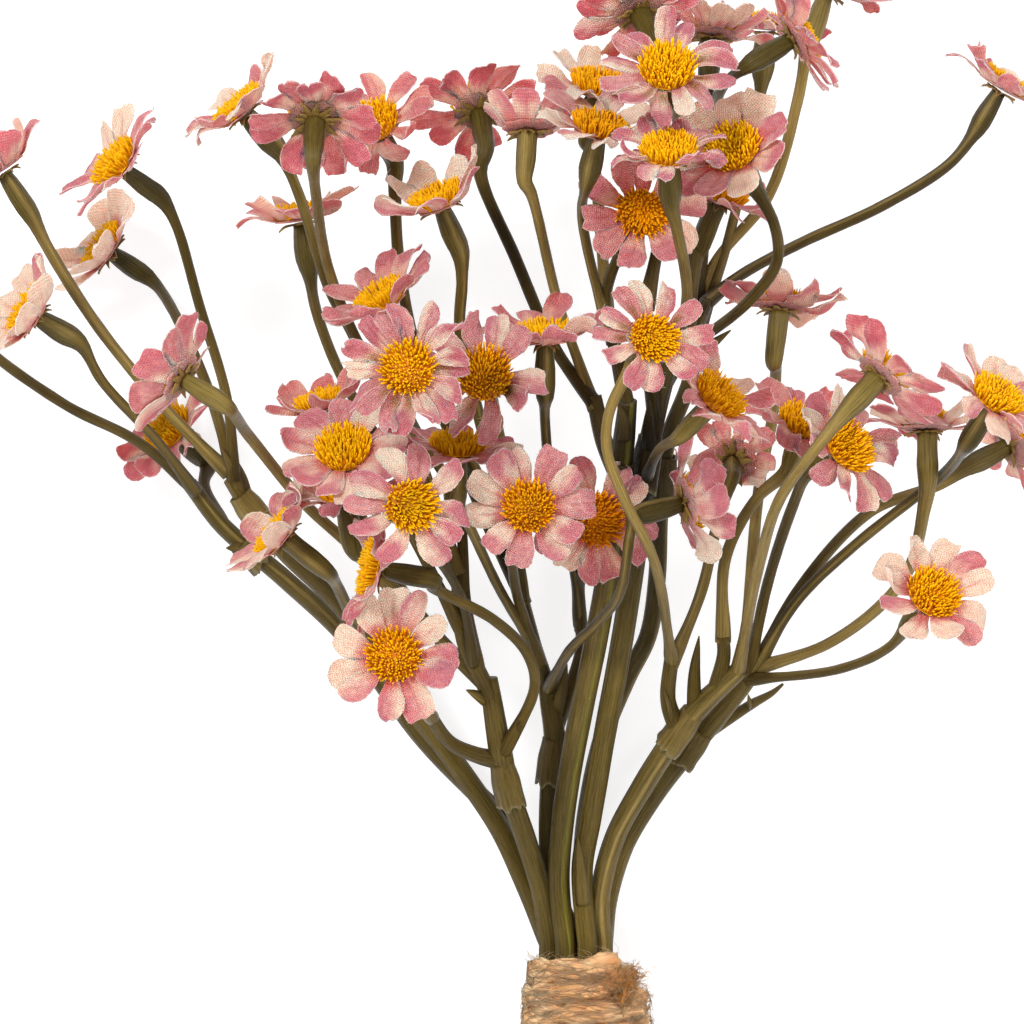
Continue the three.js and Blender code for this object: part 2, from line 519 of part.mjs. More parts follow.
// A branch from the cup under a flower down to where it joins its stem.
function branch(flower) {
  const { back, facing } = flower;
  const below = (depth) => back.clone().addScaledVector(facing, -depth);
  const cup = [
    { at: below(SEAT_GAP), radius: SEPAL_REACH, axis: facing.clone().negate(), sides: SEPALS },
    { at: below(2.6), radius: CUP_BULGE, axis: facing.clone().negate(), sides: SEPALS },
    { at: below(CUP_LENGTH), radius: 1.6 },
  ];
  const [column, row, height] = flower.joins;
  const joint = seen(column, row, height);
  const cupEnd = below(CUP_LENGTH);
  const stops = [{ at: cupEnd, radius: 1.6 }];
  const bow = flower.bow ?? 0;
  const lengths = [0];
  const flat = [cupEnd, ...flower.via.map(([c, r]) => seen(c, r, height)), joint];
  for (let i = 1; i < flat.length; i += 1) {
    const stepX = flat[i].x - flat[i - 1].x;
    const stepY = flat[i].y - flat[i - 1].y;
    lengths.push(lengths[i - 1] + Math.hypot(stepX, stepY));
  }
  flower.via.forEach(([viaColumn, viaRow, viaHeight], i) => {
    const share = lengths[i + 1] / lengths[lengths.length - 1];
    const even = cupEnd.z + (height - cupEnd.z) * share + bow * Math.sin(Math.PI * share);
    stops.push({ at: seen(viaColumn, viaRow, viaHeight ?? even), radius: BRANCH_RADIUS });
  });
  stops.push({ at: joint, radius: BRANCH_ROOT_RADIUS });
  const stalk = stationsAlong(stops, BRANCH_SLACK).slice(1);
  return tube([...cup, ...stalk], BRANCH_SIDES, facing.clone().negate());
}

function waypoint([column, row, height, radius]) {
  return { at: seen(column, row, height), radius };
}

function slotPlace(slot) {
  const middle = seen(STEM_RING_COLUMN, TIE_TOP_ROW, TIE_RADIUS);
  if (slot === "middle") {
    return middle;
  }
  const angle = THREE.MathUtils.degToRad(slot);
  middle.x += STEM_RING_RADIUS * Math.cos(angle);
  middle.z += STEM_RING_RADIUS * Math.sin(angle);
  return middle;
}

// The main stem, from its cut end through the tie to its top.
function mainStem(stem) {
  const inTie = slotPlace(stem.slot);
  const middle = seen(STEM_RING_COLUMN, TIE_TOP_ROW, TIE_RADIUS);
  const tieTop = inTie.clone();
  tieTop.y = seen(0, TIE_TOP_ROW - 6, TIE_RADIUS).y;
  const tieBottom = inTie.clone();
  tieBottom.y = seen(0, TIE_BOTTOM_ROW + 6, TIE_RADIUS).y;
  const cut = inTie.clone();
  cut.y = seen(0, stem.end, TIE_RADIUS).y;
  const spread = 0.9;
  cut.x += (inTie.x - middle.x) * spread;
  cut.z += (inTie.z - middle.z) * spread * 0.5;
  const way = [{ at: tieTop, radius: STEM_RADIUS }, ...stem.way.map(waypoint)];
  const lower = [
    { at: cut, radius: STEM_RADIUS },
    { at: tieBottom, radius: STEM_RADIUS },
  ];
  return tube([...lower, ...stationsAlong(way, STEM_SLACK)], STEM_SIDES);
}

function limbTube(points) {
  return tube(stationsAlong(points.map(waypoint), BRANCH_SLACK), BRANCH_SIDES);
}

function sleeveTube([low, high]) {
  const from = seen(...low);
  const to = seen(...high);
  const stations = [
    { at: from, radius: SLEEVE_RADIUS },
    { at: from.clone().lerp(to, 0.5), radius: SLEEVE_RADIUS * 0.97 },
    { at: to, radius: SLEEVE_RADIUS * 0.8 },
  ];
  return tube(stations, STEM_SIDES);
}

// A pointed stub leaf.
function stubSpike([root, tip]) {
  const from = seen(...root);
  const to = seen(...tip);
  const stations = [
    { at: from, radius: 1.3 },
    { at: to, radius: 0.35 },
  ];
  return tube(stations, 3);
}

function stemWithBranches(stem, flowers) {
  const pieces = [mainStem(stem), sleeveTube(stem.sleeve)];
  stem.limbs.forEach((limb) => pieces.push(limbTube(limb)));
  stem.stubs.forEach((stub) => pieces.push(stubSpike(stub)));
  flowers.forEach((flower) => pieces.push(branch(flower)));
  return pieces.reduce((whole, piece) => whole.add(piece));
}

// The jute tie: wraps side by side as rings of relief, slightly tilted, with a hole for the stems.
function juteTie() {
  const body = new Body();
  const outerMiddle = seen(TIE_COLUMN, TIE_TOP_ROW, TIE_RADIUS);
  const innerMiddle = seen(STEM_RING_COLUMN, TIE_TOP_ROW, TIE_RADIUS);
  const top = outerMiddle.y;
  const bottom = seen(0, TIE_BOTTOM_ROW, TIE_RADIUS).y;
  const levels = TIE_TURNS * 2;
  const ringAt = (centre, y, radius, tilt) => {
    const ring = [];
    for (let side = 0; side < TIE_SIDES; side += 1) {
      const angle = (2 * Math.PI * side) / TIE_SIDES;
      const x = centre.x + radius * Math.cos(angle);
      const z = TIE_RADIUS + radius * Math.sin(angle);
      ring.push(body.corner(new THREE.Vector3(x, y + tilt * Math.cos(angle), z)));
    }
    return ring;
  };
  const outer = [];
  for (let level = 0; level <= levels; level += 1) {
    const y = top + ((bottom - top) * level) / levels;
    const valley = level % 2 === 0;
    const end = level === 0 || level === levels;
    const full = TIE_RADIUS / Math.cos(Math.PI / TIE_SIDES);
    const radius = full - (valley ? TIE_RIPPLE : 0) - (end ? TIE_ROUNDING : 0);
    outer.push(ringAt(outerMiddle, y, radius, end ? 0 : 0.5));
  }
  const inner = [
    ringAt(innerMiddle, top, TIE_HOLE_RADIUS, 0),
    ringAt(innerMiddle, bottom, TIE_HOLE_RADIUS, 0),
  ];
  const join = (upper, lower) => {
    for (let side = 0; side < TIE_SIDES; side += 1) {
      const next = (side + 1) % TIE_SIDES;
      body.quad(upper[side], upper[next], lower[next], lower[side]);
    }
  };
  for (let level = 0; level < levels; level += 1) {
    join(outer[level], outer[level + 1]);
  }
  join(outer[levels], inner[1]);
  join(inner[1], inner[0]);
  join(inner[0], outer[0]);
  return body.solid();
}

function outward(solid) {
  if (solid.volume() < 0) {
    throw new Error("body is inside out");
  }
  return solid;
}

function meshFrom(solid, name, look) {
  const raw = solid.getMesh();
  let geometry = new THREE.BufferGeometry();
  geometry.setAttribute("position", new THREE.BufferAttribute(new Float32Array(raw.vertProperties), 3));
  geometry.setIndex(new THREE.BufferAttribute(new Uint32Array(raw.triVerts), 1));
  geometry = mergeVertices(geometry, 1e-4);
  geometry.computeVertexNormals();
  const mesh = new THREE.Mesh(geometry, new THREE.MeshStandardMaterial({ ...look, flatShading: true }));
  mesh.name = name;
  return mesh;
}

// Places a flower, and lets one that rests on the surface down until its lowest petal touches it.
function placedFlower(flower, index) {
  const facing = new THREE.Vector3(...flower.faces).normalize();
  const seed = BUNCH_SEED + index * 101;
  let height = flower.back[2];
  let back = seen(flower.back[0], flower.back[1], height);
  const size = flower.size ?? 1;
  let head = outward(flowerHead(back, facing, flower.rise, size, seed));
  if (flower.rests) {
    for (let pass = 0; pass < 3; pass += 1) {
      height -= head.boundingBox().min[2];
      back = seen(flower.back[0], flower.back[1], height);
      head = flowerHead(back, facing, flower.rise, size, seed);
    }
  }
  return { ...flower, back, facing, head };
}

function buildBunch() {
  const bunch = new THREE.Group();
  bunch.name = "daisy_bunch";
  const flowers = FLOWERS.map(placedFlower);
  STEMS.forEach((stem) => {
    const own = flowers.filter((flower) => flower.stem === stem.name);
    bunch.add(meshFrom(stemWithBranches(stem, own), stem.name, STEM_OLIVE));
  });
  const paired = new Set();
  PRESSED_TOGETHER.forEach(([one, other]) => {
    const first = flowers.find((flower) => flower.id === one);
    const second = flowers.find((flower) => flower.id === other);
    paired.add(one);
    paired.add(other);
    bunch.add(meshFrom(first.head.add(second.head), `daisies_${one}_${other}`, PETAL_PINK));
  });
  flowers.forEach((flower) => {
    if (!paired.has(flower.id)) {
      bunch.add(meshFrom(flower.head, `daisy_${flower.id}`, PETAL_PINK));
    }
  });
  bunch.add(meshFrom(outward(juteTie()), "jute_tie", JUTE_TAN));
  return bunch;
}

export default buildBunch();
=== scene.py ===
import math
import random

import bpy
import numpy as np
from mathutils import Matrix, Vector, noise


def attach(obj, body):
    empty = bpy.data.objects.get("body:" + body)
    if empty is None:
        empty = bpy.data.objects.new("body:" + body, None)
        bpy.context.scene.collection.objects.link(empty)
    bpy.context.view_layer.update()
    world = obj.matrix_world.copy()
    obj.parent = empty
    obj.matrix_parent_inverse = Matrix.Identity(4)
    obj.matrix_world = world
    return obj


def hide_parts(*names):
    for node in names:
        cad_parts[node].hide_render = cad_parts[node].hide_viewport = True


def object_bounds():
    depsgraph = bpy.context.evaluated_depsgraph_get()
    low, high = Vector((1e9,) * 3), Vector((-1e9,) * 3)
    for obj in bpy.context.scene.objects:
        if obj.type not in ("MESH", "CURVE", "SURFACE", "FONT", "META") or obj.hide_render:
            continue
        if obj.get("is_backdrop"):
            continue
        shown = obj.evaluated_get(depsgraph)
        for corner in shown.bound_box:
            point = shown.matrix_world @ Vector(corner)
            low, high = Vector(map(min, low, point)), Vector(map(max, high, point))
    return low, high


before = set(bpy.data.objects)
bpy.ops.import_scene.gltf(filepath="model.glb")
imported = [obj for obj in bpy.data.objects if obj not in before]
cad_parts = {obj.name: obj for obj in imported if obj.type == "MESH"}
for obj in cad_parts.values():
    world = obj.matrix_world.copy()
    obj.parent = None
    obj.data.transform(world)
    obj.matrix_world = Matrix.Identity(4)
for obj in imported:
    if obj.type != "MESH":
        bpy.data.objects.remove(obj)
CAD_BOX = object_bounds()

# Lengths are millimetres until a mesh is made.
MM = 0.001
TAU = 2 * math.pi

# Reference view: columns and rows of the photo's frame, and heights over the surface.
MM_PER_STEP = 0.2
VIEW_MIDDLE = 512
EYE_DISTANCE = 1400
TRUE_SCALE_HEIGHT = 50
ORIGIN_COLUMN = 478
ORIGIN_ROW = 686

# Flower heads.
HEAD_RADIUS = 14.4
HUB_RADIUS = 4.7
HUB_HEIGHT = 0.9
SHEET = 0.22
HUB_SHEET = 0.3
BRISTLES = 270
SURFACE_CLEARANCE = 0.02

# Moulded stems.
SEAT_GAP = 0.3
CUP_LENGTH = 10.5
BRANCH_SIDES = 14
BRANCH_STEP = 1.0
STEM_RADIUS = 2.1
STEM_SIDES = 22
STEM_STEP = 1.4

# Jute tie.
TIE_COLUMN = 585
TIE_TOP_ROW = 950
TIE_BOTTOM_ROW = 1130
TIE_RADIUS = 13
TIE_TURNS = 7
STEM_RING_COLUMN = 576
STEM_RING_RADIUS = 5.95
TIE_HOLE_RADIUS = 8.6

BUNCH_SEED = 7

# Main stems: place round the tie in degrees, row of the cut end, way up as (column, row, height,
# radius), both ends of the clipped-on sleeve, limbs as the way is, and root and tip of stub leaves.
STEMS = {
    "left_front": dict(
        slot=157.5, end=1362, sleeve=((512, 806, 24), (502, 762, 27)),
        way=[(541, 890, 18, 2.1), (526, 840, 21, 2.1), (509, 790, 25, 2.2), (500, 749, 28, 2.4),
             (492, 700, 31, 2.0), (489, 678, 32, 1.7)],
        limbs=[[(492, 700, 31, 2.0), (478, 672, 34, 1.8), (463, 640, 36, 1.6),
                (457, 563, 42, 1.5)],
               [(502, 760, 27, 2.2), (478, 755, 28, 1.8), (450, 742, 32, 1.5),
                (428, 712, 40, 1.4)],
               [(490, 690, 31, 1.8), (440, 640, 33, 1.5), (400, 590, 37, 1.4)]],
        stubs=[((505, 745, 29), (520, 722, 35)), ((484, 700, 32), (466, 690, 38))]),
    "far_left": dict(
        slot=202.5, end=1391, sleeve=((262, 523, 35), (240, 494, 37)),
        way=[(528, 890, 13, 2.1), (500, 829, 14, 2.1), (470, 783, 16, 2.1), (418, 712, 20, 2.1),
             (340, 604, 28, 2.0), (284, 550, 33, 1.9), (252, 511, 36, 1.9), (231, 478, 38, 1.7)],
        limbs=[],
        stubs=[((240, 494, 38), (221, 446, 43)), ((246, 500, 38), (238, 462, 34))]),
    "low_left": dict(
        slot=247.5, end=1340, sleeve=((262, 562, 20), (240, 543, 22)),
        way=[(548, 890, 8, 2.1), (520, 835, 7, 2.1), (484, 800, 7, 2.1), (424, 738, 9, 2.1),
             (350, 640, 14, 2.0), (284, 578, 19, 1.9), (223, 526, 23, 1.8), (190, 484, 26, 1.6)],
        limbs=[],
        stubs=[((250, 552, 22), (226, 548, 26))]),
    "middle": dict(
        slot='middle', end=1400, sleeve=((550, 784, 16), (555, 738, 18)),
        way=[(553, 884, 13, 2.1), (549, 838, 14, 2.1), (551, 782, 16, 2.2), (555, 740, 18, 2.3),
             (549, 700, 20, 1.9), (546, 676, 21, 1.7)],
        limbs=[[(555, 730, 19, 1.8), (567, 696, 17, 1.5), (581, 650, 18, 1.4),
                (580, 612, 21, 1.4)],
               [(547, 684, 21, 1.7), (536, 648, 24, 1.4), (520, 590, 30, 1.4)]],
        stubs=[((556, 712, 20), (567, 664, 26))]),
    "centre_left": dict(
        slot=112.5, end=1378, sleeve=((616, 512, 49), (623, 462, 53)),
        way=[(559, 880, 21, 2.2), (563, 820, 25, 2.3), (574, 749, 31, 2.3), (596, 640, 40, 2.3),
             (610, 560, 46, 2.3), (618, 500, 50, 2.3), (624, 440, 54, 2.2), (628, 400, 57, 1.8)],
        limbs=[[(620, 480, 51, 2.0), (604, 440, 46, 1.9), (594, 396, 46, 1.7)],
               [(628, 410, 57, 1.8), (616, 350, 51, 1.5), (606, 310, 50, 1.4)]],
        stubs=[((624, 440, 56), (618, 404, 63))]),
    "centre_right": dict(
        slot=67.5, end=1352, sleeve=((642, 490, 46), (651, 436, 49)),
        way=[(582, 870, 20, 2.2), (590, 820, 23, 2.3), (602, 749, 28, 2.3), (622, 640, 36, 2.3),
             (634, 560, 41, 2.3), (641, 500, 45, 2.3), (650, 440, 49, 2.2), (664, 380, 54, 2.0),
             (676, 344, 58, 1.8)],
        limbs=[[(656, 420, 51, 1.8), (648, 350, 60, 1.5), (646, 300, 66, 1.4)],
               [(664, 384, 54, 1.8), (690, 340, 48, 1.6), (706, 302, 42, 1.5)]],
        stubs=[((650, 452, 50), (650, 400, 60)), ((583, 905, 21), (578, 838, 28)),
               ((676, 366, 52), (731, 330, 58))]),
    "right_front": dict(
        slot=22.5, end=1384, sleeve=((668, 747, 26), (694, 712, 30)),
        way=[(600, 900, 17, 2.1), (614, 840, 20, 2.1), (642, 787, 23, 2.2), (674, 738, 27, 2.3),
             (700, 706, 31, 2.3), (741, 668, 36, 1.8)],
        limbs=[[(678, 730, 28, 2.1), (668, 700, 32, 1.7), (672, 652, 38, 1.6)],
               [(716, 690, 33, 1.9), (724, 655, 37, 1.5), (723, 636, 39, 1.4)]],
        stubs=[((694, 706, 31), (699, 636, 40)), ((672, 718, 30), (664, 690, 37))]),
    "right_rear": dict(
        slot=337.5, end=1331, sleeve=((680, 762, 15), (704, 730, 19)),
        way=[(607, 900, 9.6, 2.1), (624, 845, 10, 2.1), (652, 797, 12, 2.2), (686, 752, 16, 2.3),
             (712, 722, 20, 2.3), (744, 684, 24, 1.8), (756, 668, 26, 1.6)],
        limbs=[[(698, 738, 18, 1.7), (724, 722, 16, 1.3), (752, 704, 16, 1.1), (772, 693, 17, 0.7),
                (783, 684, 18, 0.3)]],
        stubs=[((750, 704, 16), (748, 694, 20))]),
    "centre_rear": dict(
        slot=292.5, end=1370, sleeve=((660, 500, 29), (666, 456, 32)),
        way=[(583, 880, 7.6, 2.1), (586, 820, 8, 2.0), (602, 740, 13, 1.9), (626, 680, 17, 1.9),
             (648, 636, 20, 1.8), (657, 580, 24, 1.8), (660, 507, 29, 1.8), (668, 440, 33, 1.7),
             (690, 380, 36, 1.6), (698, 330, 38, 1.5)],
        limbs=[],
        stubs=[((662, 490, 30), (680, 466, 24))]),
}

# Flowers: name, stem, back of the head as (column, row, height), the way it faces, rise of its
# petals, way of the branch as (column, row) with a height where it isn't even, and its joint.
FLOWERS = [
    ("a", "far_left", (3, 172, 46), (-0.54, 0.84, 0.1), 3.4,
     [(48, 248), (97, 325), (163, 406)], (229, 474, 38)),
    ("b", "far_left", (122, 168, 62), (-0.72, 0.56, 0.4), 2.2,
     [(176, 225), (199, 304), (227, 399)], (234, 480, 39)),
    ("c", "far_left", (110, 252, 22), (-0.79, 0.54, 0.28), 2.6,
     [(179, 322, 25), (212, 400, 35)], (236, 486, 36)),
    ("z", "low_left", (-51.5, 292, 34), (-0.62, 0.76, 0.15), 4.4,
     [(-18, 342), (64, 404, 33), (135, 440, 31)], (193, 487, 25)),
    ("d", "low_left", (36, 316, 58), (-0.8, 0.5, 0.33), 3.6,
     [(102, 381), (158, 442)], (196, 492, 27)),
    ("f", "low_left", (174, 434, 12), (-0.6, 0.5, 0.5), 2.2, [(204, 484)], (222, 524, 22)),
    ("k24", "far_left", (285, 538, 56), (-0.76, 0.62, 0.2), 3,
     [(336, 584, 44), (354, 620, 32)], (375, 652, 24.5)),
    ("e", "left_front", (183, 379, 76), (-0.8, 0.5, -0.35), 2.4,
     [(250, 437, 54), (306, 505, 39), (353, 548, 36)], (420, 617, 35)),
    ("k18", "left_front", (322, 410, 50), (-0.3, 0.92, 0.2), 2.4,
     [(346, 470, 35), (374, 548, 33)], (404, 596, 36)),
    ("k24b", "left_front", (344, 500, 50), (-0.2, 0.93, 0.25), 2.4,
     [(362, 560, 42)], (404, 600, 37)),
    ("g", "left_front", (245, 113, 68), (-0.66, 0.75, 0.2), 2.4,
     [(298, 192), (327, 284, 54), (352, 334, 47), (400, 430, 44)], (457, 567, 42)),
    ("h", "left_front", (315, 121, 84), (0.02, 0.74, -0.67), -2.2,
     [(316, 195, 80), (329, 270, 59), (352, 330, 57), (412, 440, 50)], (459, 573, 43)),
    ("i", "left_front", (301, 222, 42), (-0.16, 0.97, 0.08), 4,
     [(316, 310, 36), (339, 371, 31), (390, 460, 33)], (457, 575, 41)),
    ("k19", "left_front", (345, 456, 78), (-0.15, 0.65, 0.75), 1.6,
     [(390, 494, 70), (416, 542, 50)], (461, 630, 38)),
    ("k21", "left_front", (411, 507, 92), (-0.05, 0.18, 0.98), 1.2,
     [(430, 545, 72), (462, 600, 50)], (474, 664, 35)),
    ("k15", "left_front", (409, 370, 98), (-0.1, 0.2, 0.97), 1.4,
     [(406, 402, 72), (418, 434, 50), (456, 500, 46), (466, 600, 41)], (478, 670, 34)),
    ("k25", "left_front", (380, 569, 75), (-0.97, 0.2, 0.16), 2.4,
     [(434, 587, 70), (494, 620, 58), (528, 655, 46), (534, 690, 38)], (504, 752, 29)),
    ("k26", "left_front", (395, 657, 80), (-0.08, 0.2, 0.97), 1.6, [(408, 690)], (432, 718, 39)),
    ("k14", "middle", (385, 305, 66), (-0.5, 0.75, 0.4), 2.8,
     [(424, 370, 52), (452, 440, 40), (494, 540, 33)], (521, 594, 30)),
    ("j", "middle", (376, 128, 56), (-0.34, 0.6, 0.72), 1.8,
     [(395, 196), (400, 270), (420, 360), (480, 480)], (524, 604, 29)),
    ("m", "middle", (441, 206, 70), (-0.36, 0.87, 0.34), 4.4,
     [(462, 281), (460, 330), (480, 420), (506, 520)], (520, 592, 30)),
    ("v", "middle", (485, 377, 80), (-0.1, 0.2, 0.97), 1.4,
     [(496, 420, 56), (512, 500, 44)], (522, 598, 30)),
    ("k20", "middle", (458, 454, 70), (0.05, 0.93, 0.33), 2.2,
     [(466, 520), (500, 590)], (536, 650, 24)),
    ("k22", "middle", (529, 508, 84), (0.02, 0.1, 0.99), 1.2,
     [(515, 534, 64), (516, 590, 40)], (540, 664, 23)),
    ("u", "middle", (545, 341, 66), (0, 0.95, 0.28), 2.6,
     [(545, 420, 56), (552, 490, 46), (574, 570, 30)], (580, 625, 20)),
    ("k23", "middle", (594, 521, 57), (0.3, 0.1, 0.94), 1.6,
     [(584, 545, 42), (580, 590, 26)], (581, 630, 20)),
    ("ba", "middle", (683, 503, 64), (0.9, 0.25, -0.35), 3.6,
     [(630, 535, 78), (621, 590, 71), (598, 622, 56), (570, 650, 41)], (549, 688, 22)),
    ("k", "centre_left", (480, 113, 38), (-0.1, 0.72, -0.66), 1.2,
     [(480, 171, 45), (515, 257, 42), (556, 350, 42)], (595, 404, 46)),
    ("l", "centre_left", (528, 132, 56), (0.06, 0.95, -0.3), 8.2,
     [(531, 193, 58), (558, 303, 46), (580, 366, 44)], (595, 410, 46)),
    ("n1", "centre_left", (597, 92, 68), (0.16, 0.9, 0.4), 3,
     [(594, 160, 56), (602, 250, 50)], (607, 316, 50)),
    ("n2", "centre_left", (598, 134, 84), (0.2, 0.88, 0.39), 3.4,
     [(582, 216, 68), (598, 292, 55)], (611, 332, 51)),
    ("r", "centre_left", (641, 215, 70), (0.2, 0.42, 0.88), 1.8,
     [(616, 262, 59), (606, 300, 53)], (614, 344, 51)),
    ("o", "centre_right", (667, 74, 98), (0.03, 0.58, 0.81), 1.2,
     [(675, 112, 75), (678, 150, 64), (662, 220, 62)], (647, 310, 65)),
    ("ta", "centre_right", (640, 13, 76), (-0.3, 0.72, -0.62), 1.6,
     [(671, 70, 79), (678, 110, 72), (681, 150, 65), (664, 220, 63)], (646, 306, 66)),
    ("p", "centre_right", (669, 158, 104), (-0.05, 0.84, 0.54), 1.8,
     [(676, 225, 97), (687, 290, 82)], (676, 350, 58)),
    ("q", "centre_right", (735, 154, 88), (-0.35, 0.52, 0.78), 1.8,
     [(774, 224, 80), (777, 262, 76), (750, 300, 71)], (683, 352, 49.5)),
    ("x", "centre_right", (717, 202, 50), (0.35, 0.9, 0.2), 2.2, [(697, 250)], (687, 346, 49)),
    ("y", "centre_right", (1000, 90, 22), (0.5, 0.84, 0.1), 3.2,
     [(948, 165), (880, 207), (803, 242, 28), (741, 275, 35)], (705, 304, 42)),
    ("tb", "centre_rear", (712, 38, 56), (0.1, 0.96, -0.25), 3,
     [(714, 110, 38), (711, 175, 30), (704, 250, 32)], (697, 336, 38)),
    ("te", "centre_rear", (766, 31, 26), (0.08, 0.98, 0.1), 2.4,
     [(758, 110, 26), (728, 240, 32)], (696, 344, 37)),
    ("tc", "centre_rear", (792, 40, 76), (0.84, 0.5, -0.15), 2.6,
     [(722, 88, 66), (714, 150, 36), (704, 240, 34)], (695, 350, 37)),
    ("td", "centre_rear", (826, -6, 44), (0.33, 0.94, 0.05), 2.8,
     [(797, 103, 40), (768, 196, 31), (712, 269, 33)], (694, 356, 37)),
    ("w", "centre_right", (714, 402, 84), (0.6, 0.62, 0.5), 2, [(660, 449, 66)], (645, 480, 47)),
    ("t", "right_front", (651, 340, 104), (0.25, 0.35, 0.9), 1.2,
     [(610, 410, 92), (607, 450, 90), (625, 500, 88), (652, 555, 78)], (672, 660, 37)),
    ("bb", "right_front", (732, 462, 40), (0.05, 0.35, -0.93), 4,
     [(718, 520, 48), (701, 592, 42)], (671, 666, 36)),
    ("k2", "right_front", (803, 429, 51.5), (0.3, 0.8, 0.5), 2,
     [(757, 498), (726, 557)], (723, 642, 38)),
    ("aa", "right_front", (878, 378, 90), (0.64, 0.67, -0.35), 1.4,
     [(821, 442, 94), (782, 495, 84), (758, 569, 62)], (738, 670, 36)),
    ("s", "right_rear", (780, 310, 49.4), (0.12, 0.97, -0.18), 2.6,
     [(776, 368, 38), (772, 420, 29), (760, 480, 25)], (742, 686, 24)),
    ("ae", "right_rear", (843, 450, 73), (0.6, 0.4, 0.69), 1.8,
     [(792, 508, 54), (766, 590, 36)], (748, 679, 25)),
    ("ab", "right_rear", (993, 403, 78), (0.45, 0.74, 0.5), 2.4,
     [(940, 477, 52), (855, 545, 42), (797, 601, 32)], (754, 671, 26)),
    ("ac", "right_rear", (1008, 446, 34), (0.79, 0.4, -0.45), 2.2,
     [(941, 484), (870, 512), (797, 592)], (757, 667, 26)),
    ("ad", "right_rear", (927, 431, 55), (0, 0.99, -0.12), 2.8,
     [(924, 508, 57), (904, 578, 46), (831, 642, 31)], (755, 669, 26)),
    ("af", "right_rear", (930, 598, 74), (0.35, 0.5, 0.79), 1.8,
     [(888, 648), (840, 669)], (748, 680, 25)),
]
# Heads smaller than the rest.
SMALL_HEADS = {"k18": 0.86, "k24b": 0.9, "k21": 0.94, "k22": 0.95, "l": 0.76, "t": 0.88, "bb": 0.75}
# Flowers whose solids share a node.
PRESSED_TOGETHER = (("n1", "n2"), ("k24", "k24b"), ("k25", "k26"))


# ---------------------------------------------------------------- colours and numbers

def linear(*screen):
    """A screen colour, 0 to 255 each, as linear light."""
    values = np.array(screen) / 255
    return np.where(values <= 0.04045, values / 12.92, ((values + 0.055) / 1.055) ** 2.4)


MAUVE = linear(176, 107, 117)
DEEP_ROSE = linear(152, 66, 78)
PALE = linear(230, 192, 172)
PEACH = linear(218, 150, 132)
SALMON = linear(194, 108, 96)
BLUSH = linear(186, 90, 84)
UNDERSIDE = linear(182, 98, 104)
FRAYED = linear(238, 214, 202)
STAIN = linear(96, 88, 26)
HUB_BROWN = linear(98, 74, 18)

DISC_YELLOW = linear(252, 198, 2)
DISC_ORANGE = linear(234, 142, 2)
DISC_OLIVE = linear(134, 106, 6)
DISC_DEEP = linear(204, 122, 0)
# Painted shade of the gaps between a disc's bristles.
DISC_GAP_SHADE = linear(196, 120, 0)
DARK_SPOT_COLOUR = linear(46, 44, 12)

STEM_OLIVE = linear(112, 90, 36)
STEM_DARK = linear(48, 38, 12)
STEM_LIGHT = linear(168, 142, 82)
STEM_GREEN = linear(92, 82, 30)
# Near-black colour of the painted shadow among the crowded stems.
STEM_SHADOW = linear(20, 16, 6)
SEPAL_BROWN = linear(150, 110, 56)
LINE_GREEN = linear(128, 128, 34)
CUT_END = linear(150, 140, 104)

JUTE = linear(216, 164, 116)
JUTE_PALE = linear(236, 196, 150)
JUTE_BROWN = linear(206, 146, 92)
JUTE_RUST = linear(222, 134, 62)
# JUTE_SHADE is painted shade in the wraps' grooves and also a darker tone of some hairs.
JUTE_SHADE = linear(178, 118, 68)


def clamp(value):
    return min(max(value, 0.0), 1.0)


def mixed(first, second, share):
    share = clamp(share)
    return first * (1 - share) + second * share


def smooth(low, high, value):
    share = clamp((value - low) / (high - low))
    return share * share * (3 - 2 * share)


def hump(distance, width):
    """1 at no distance, and next to nothing beyond twice the width."""
    return math.exp(-(distance / width) ** 2)


def ridge(angle, at, width):
    """A hump round a ring."""
    return hump(math.remainder(angle - at, TAU), width)


def rough(*place):
    return noise.noise(Vector(place))


def around(count):
    return [TAU * k / count for k in range(count)]


def between(table, value):
    """Reading of a table of (place, value), half straight and half eased."""
    if value <= table[0][0]:
        return table[0][1]
    for (x0, y0), (x1, y1) in zip(table, table[1:]):
        if value <= x1:
            return y0 + (y1 - y0) * (smooth(x0, x1, value) + (value - x0) / (x1 - x0)) / 2
    return table[-1][1]


def read_at(values, place):
    """Straight reading of a list between its entries."""
    k = min(int(place), len(values) - 2)
    return values[k] + (values[k + 1] - values[k]) * (place - k)


# ---------------------------------------------------------------- places

def seen(column, row, height):
    """A point of the reference view at a height."""
    shrink = 1 - (height - TRUE_SCALE_HEIGHT) / EYE_DISTANCE
    x = (column - VIEW_MIDDLE) * shrink + VIEW_MIDDLE - ORIGIN_COLUMN
    y = (VIEW_MIDDLE - row) * shrink + ORIGIN_ROW - VIEW_MIDDLE
    return Vector((x * MM_PER_STEP, y * MM_PER_STEP, height))


# Middle of the ring of stems in the tie, and both ends of the tie.
RING_MIDDLE = seen(STEM_RING_COLUMN, TIE_TOP_ROW, TIE_RADIUS)
TIE_TOP = RING_MIDDLE.y
TIE_BOTTOM = seen(STEM_RING_COLUMN, TIE_BOTTOM_ROW, TIE_RADIUS).y


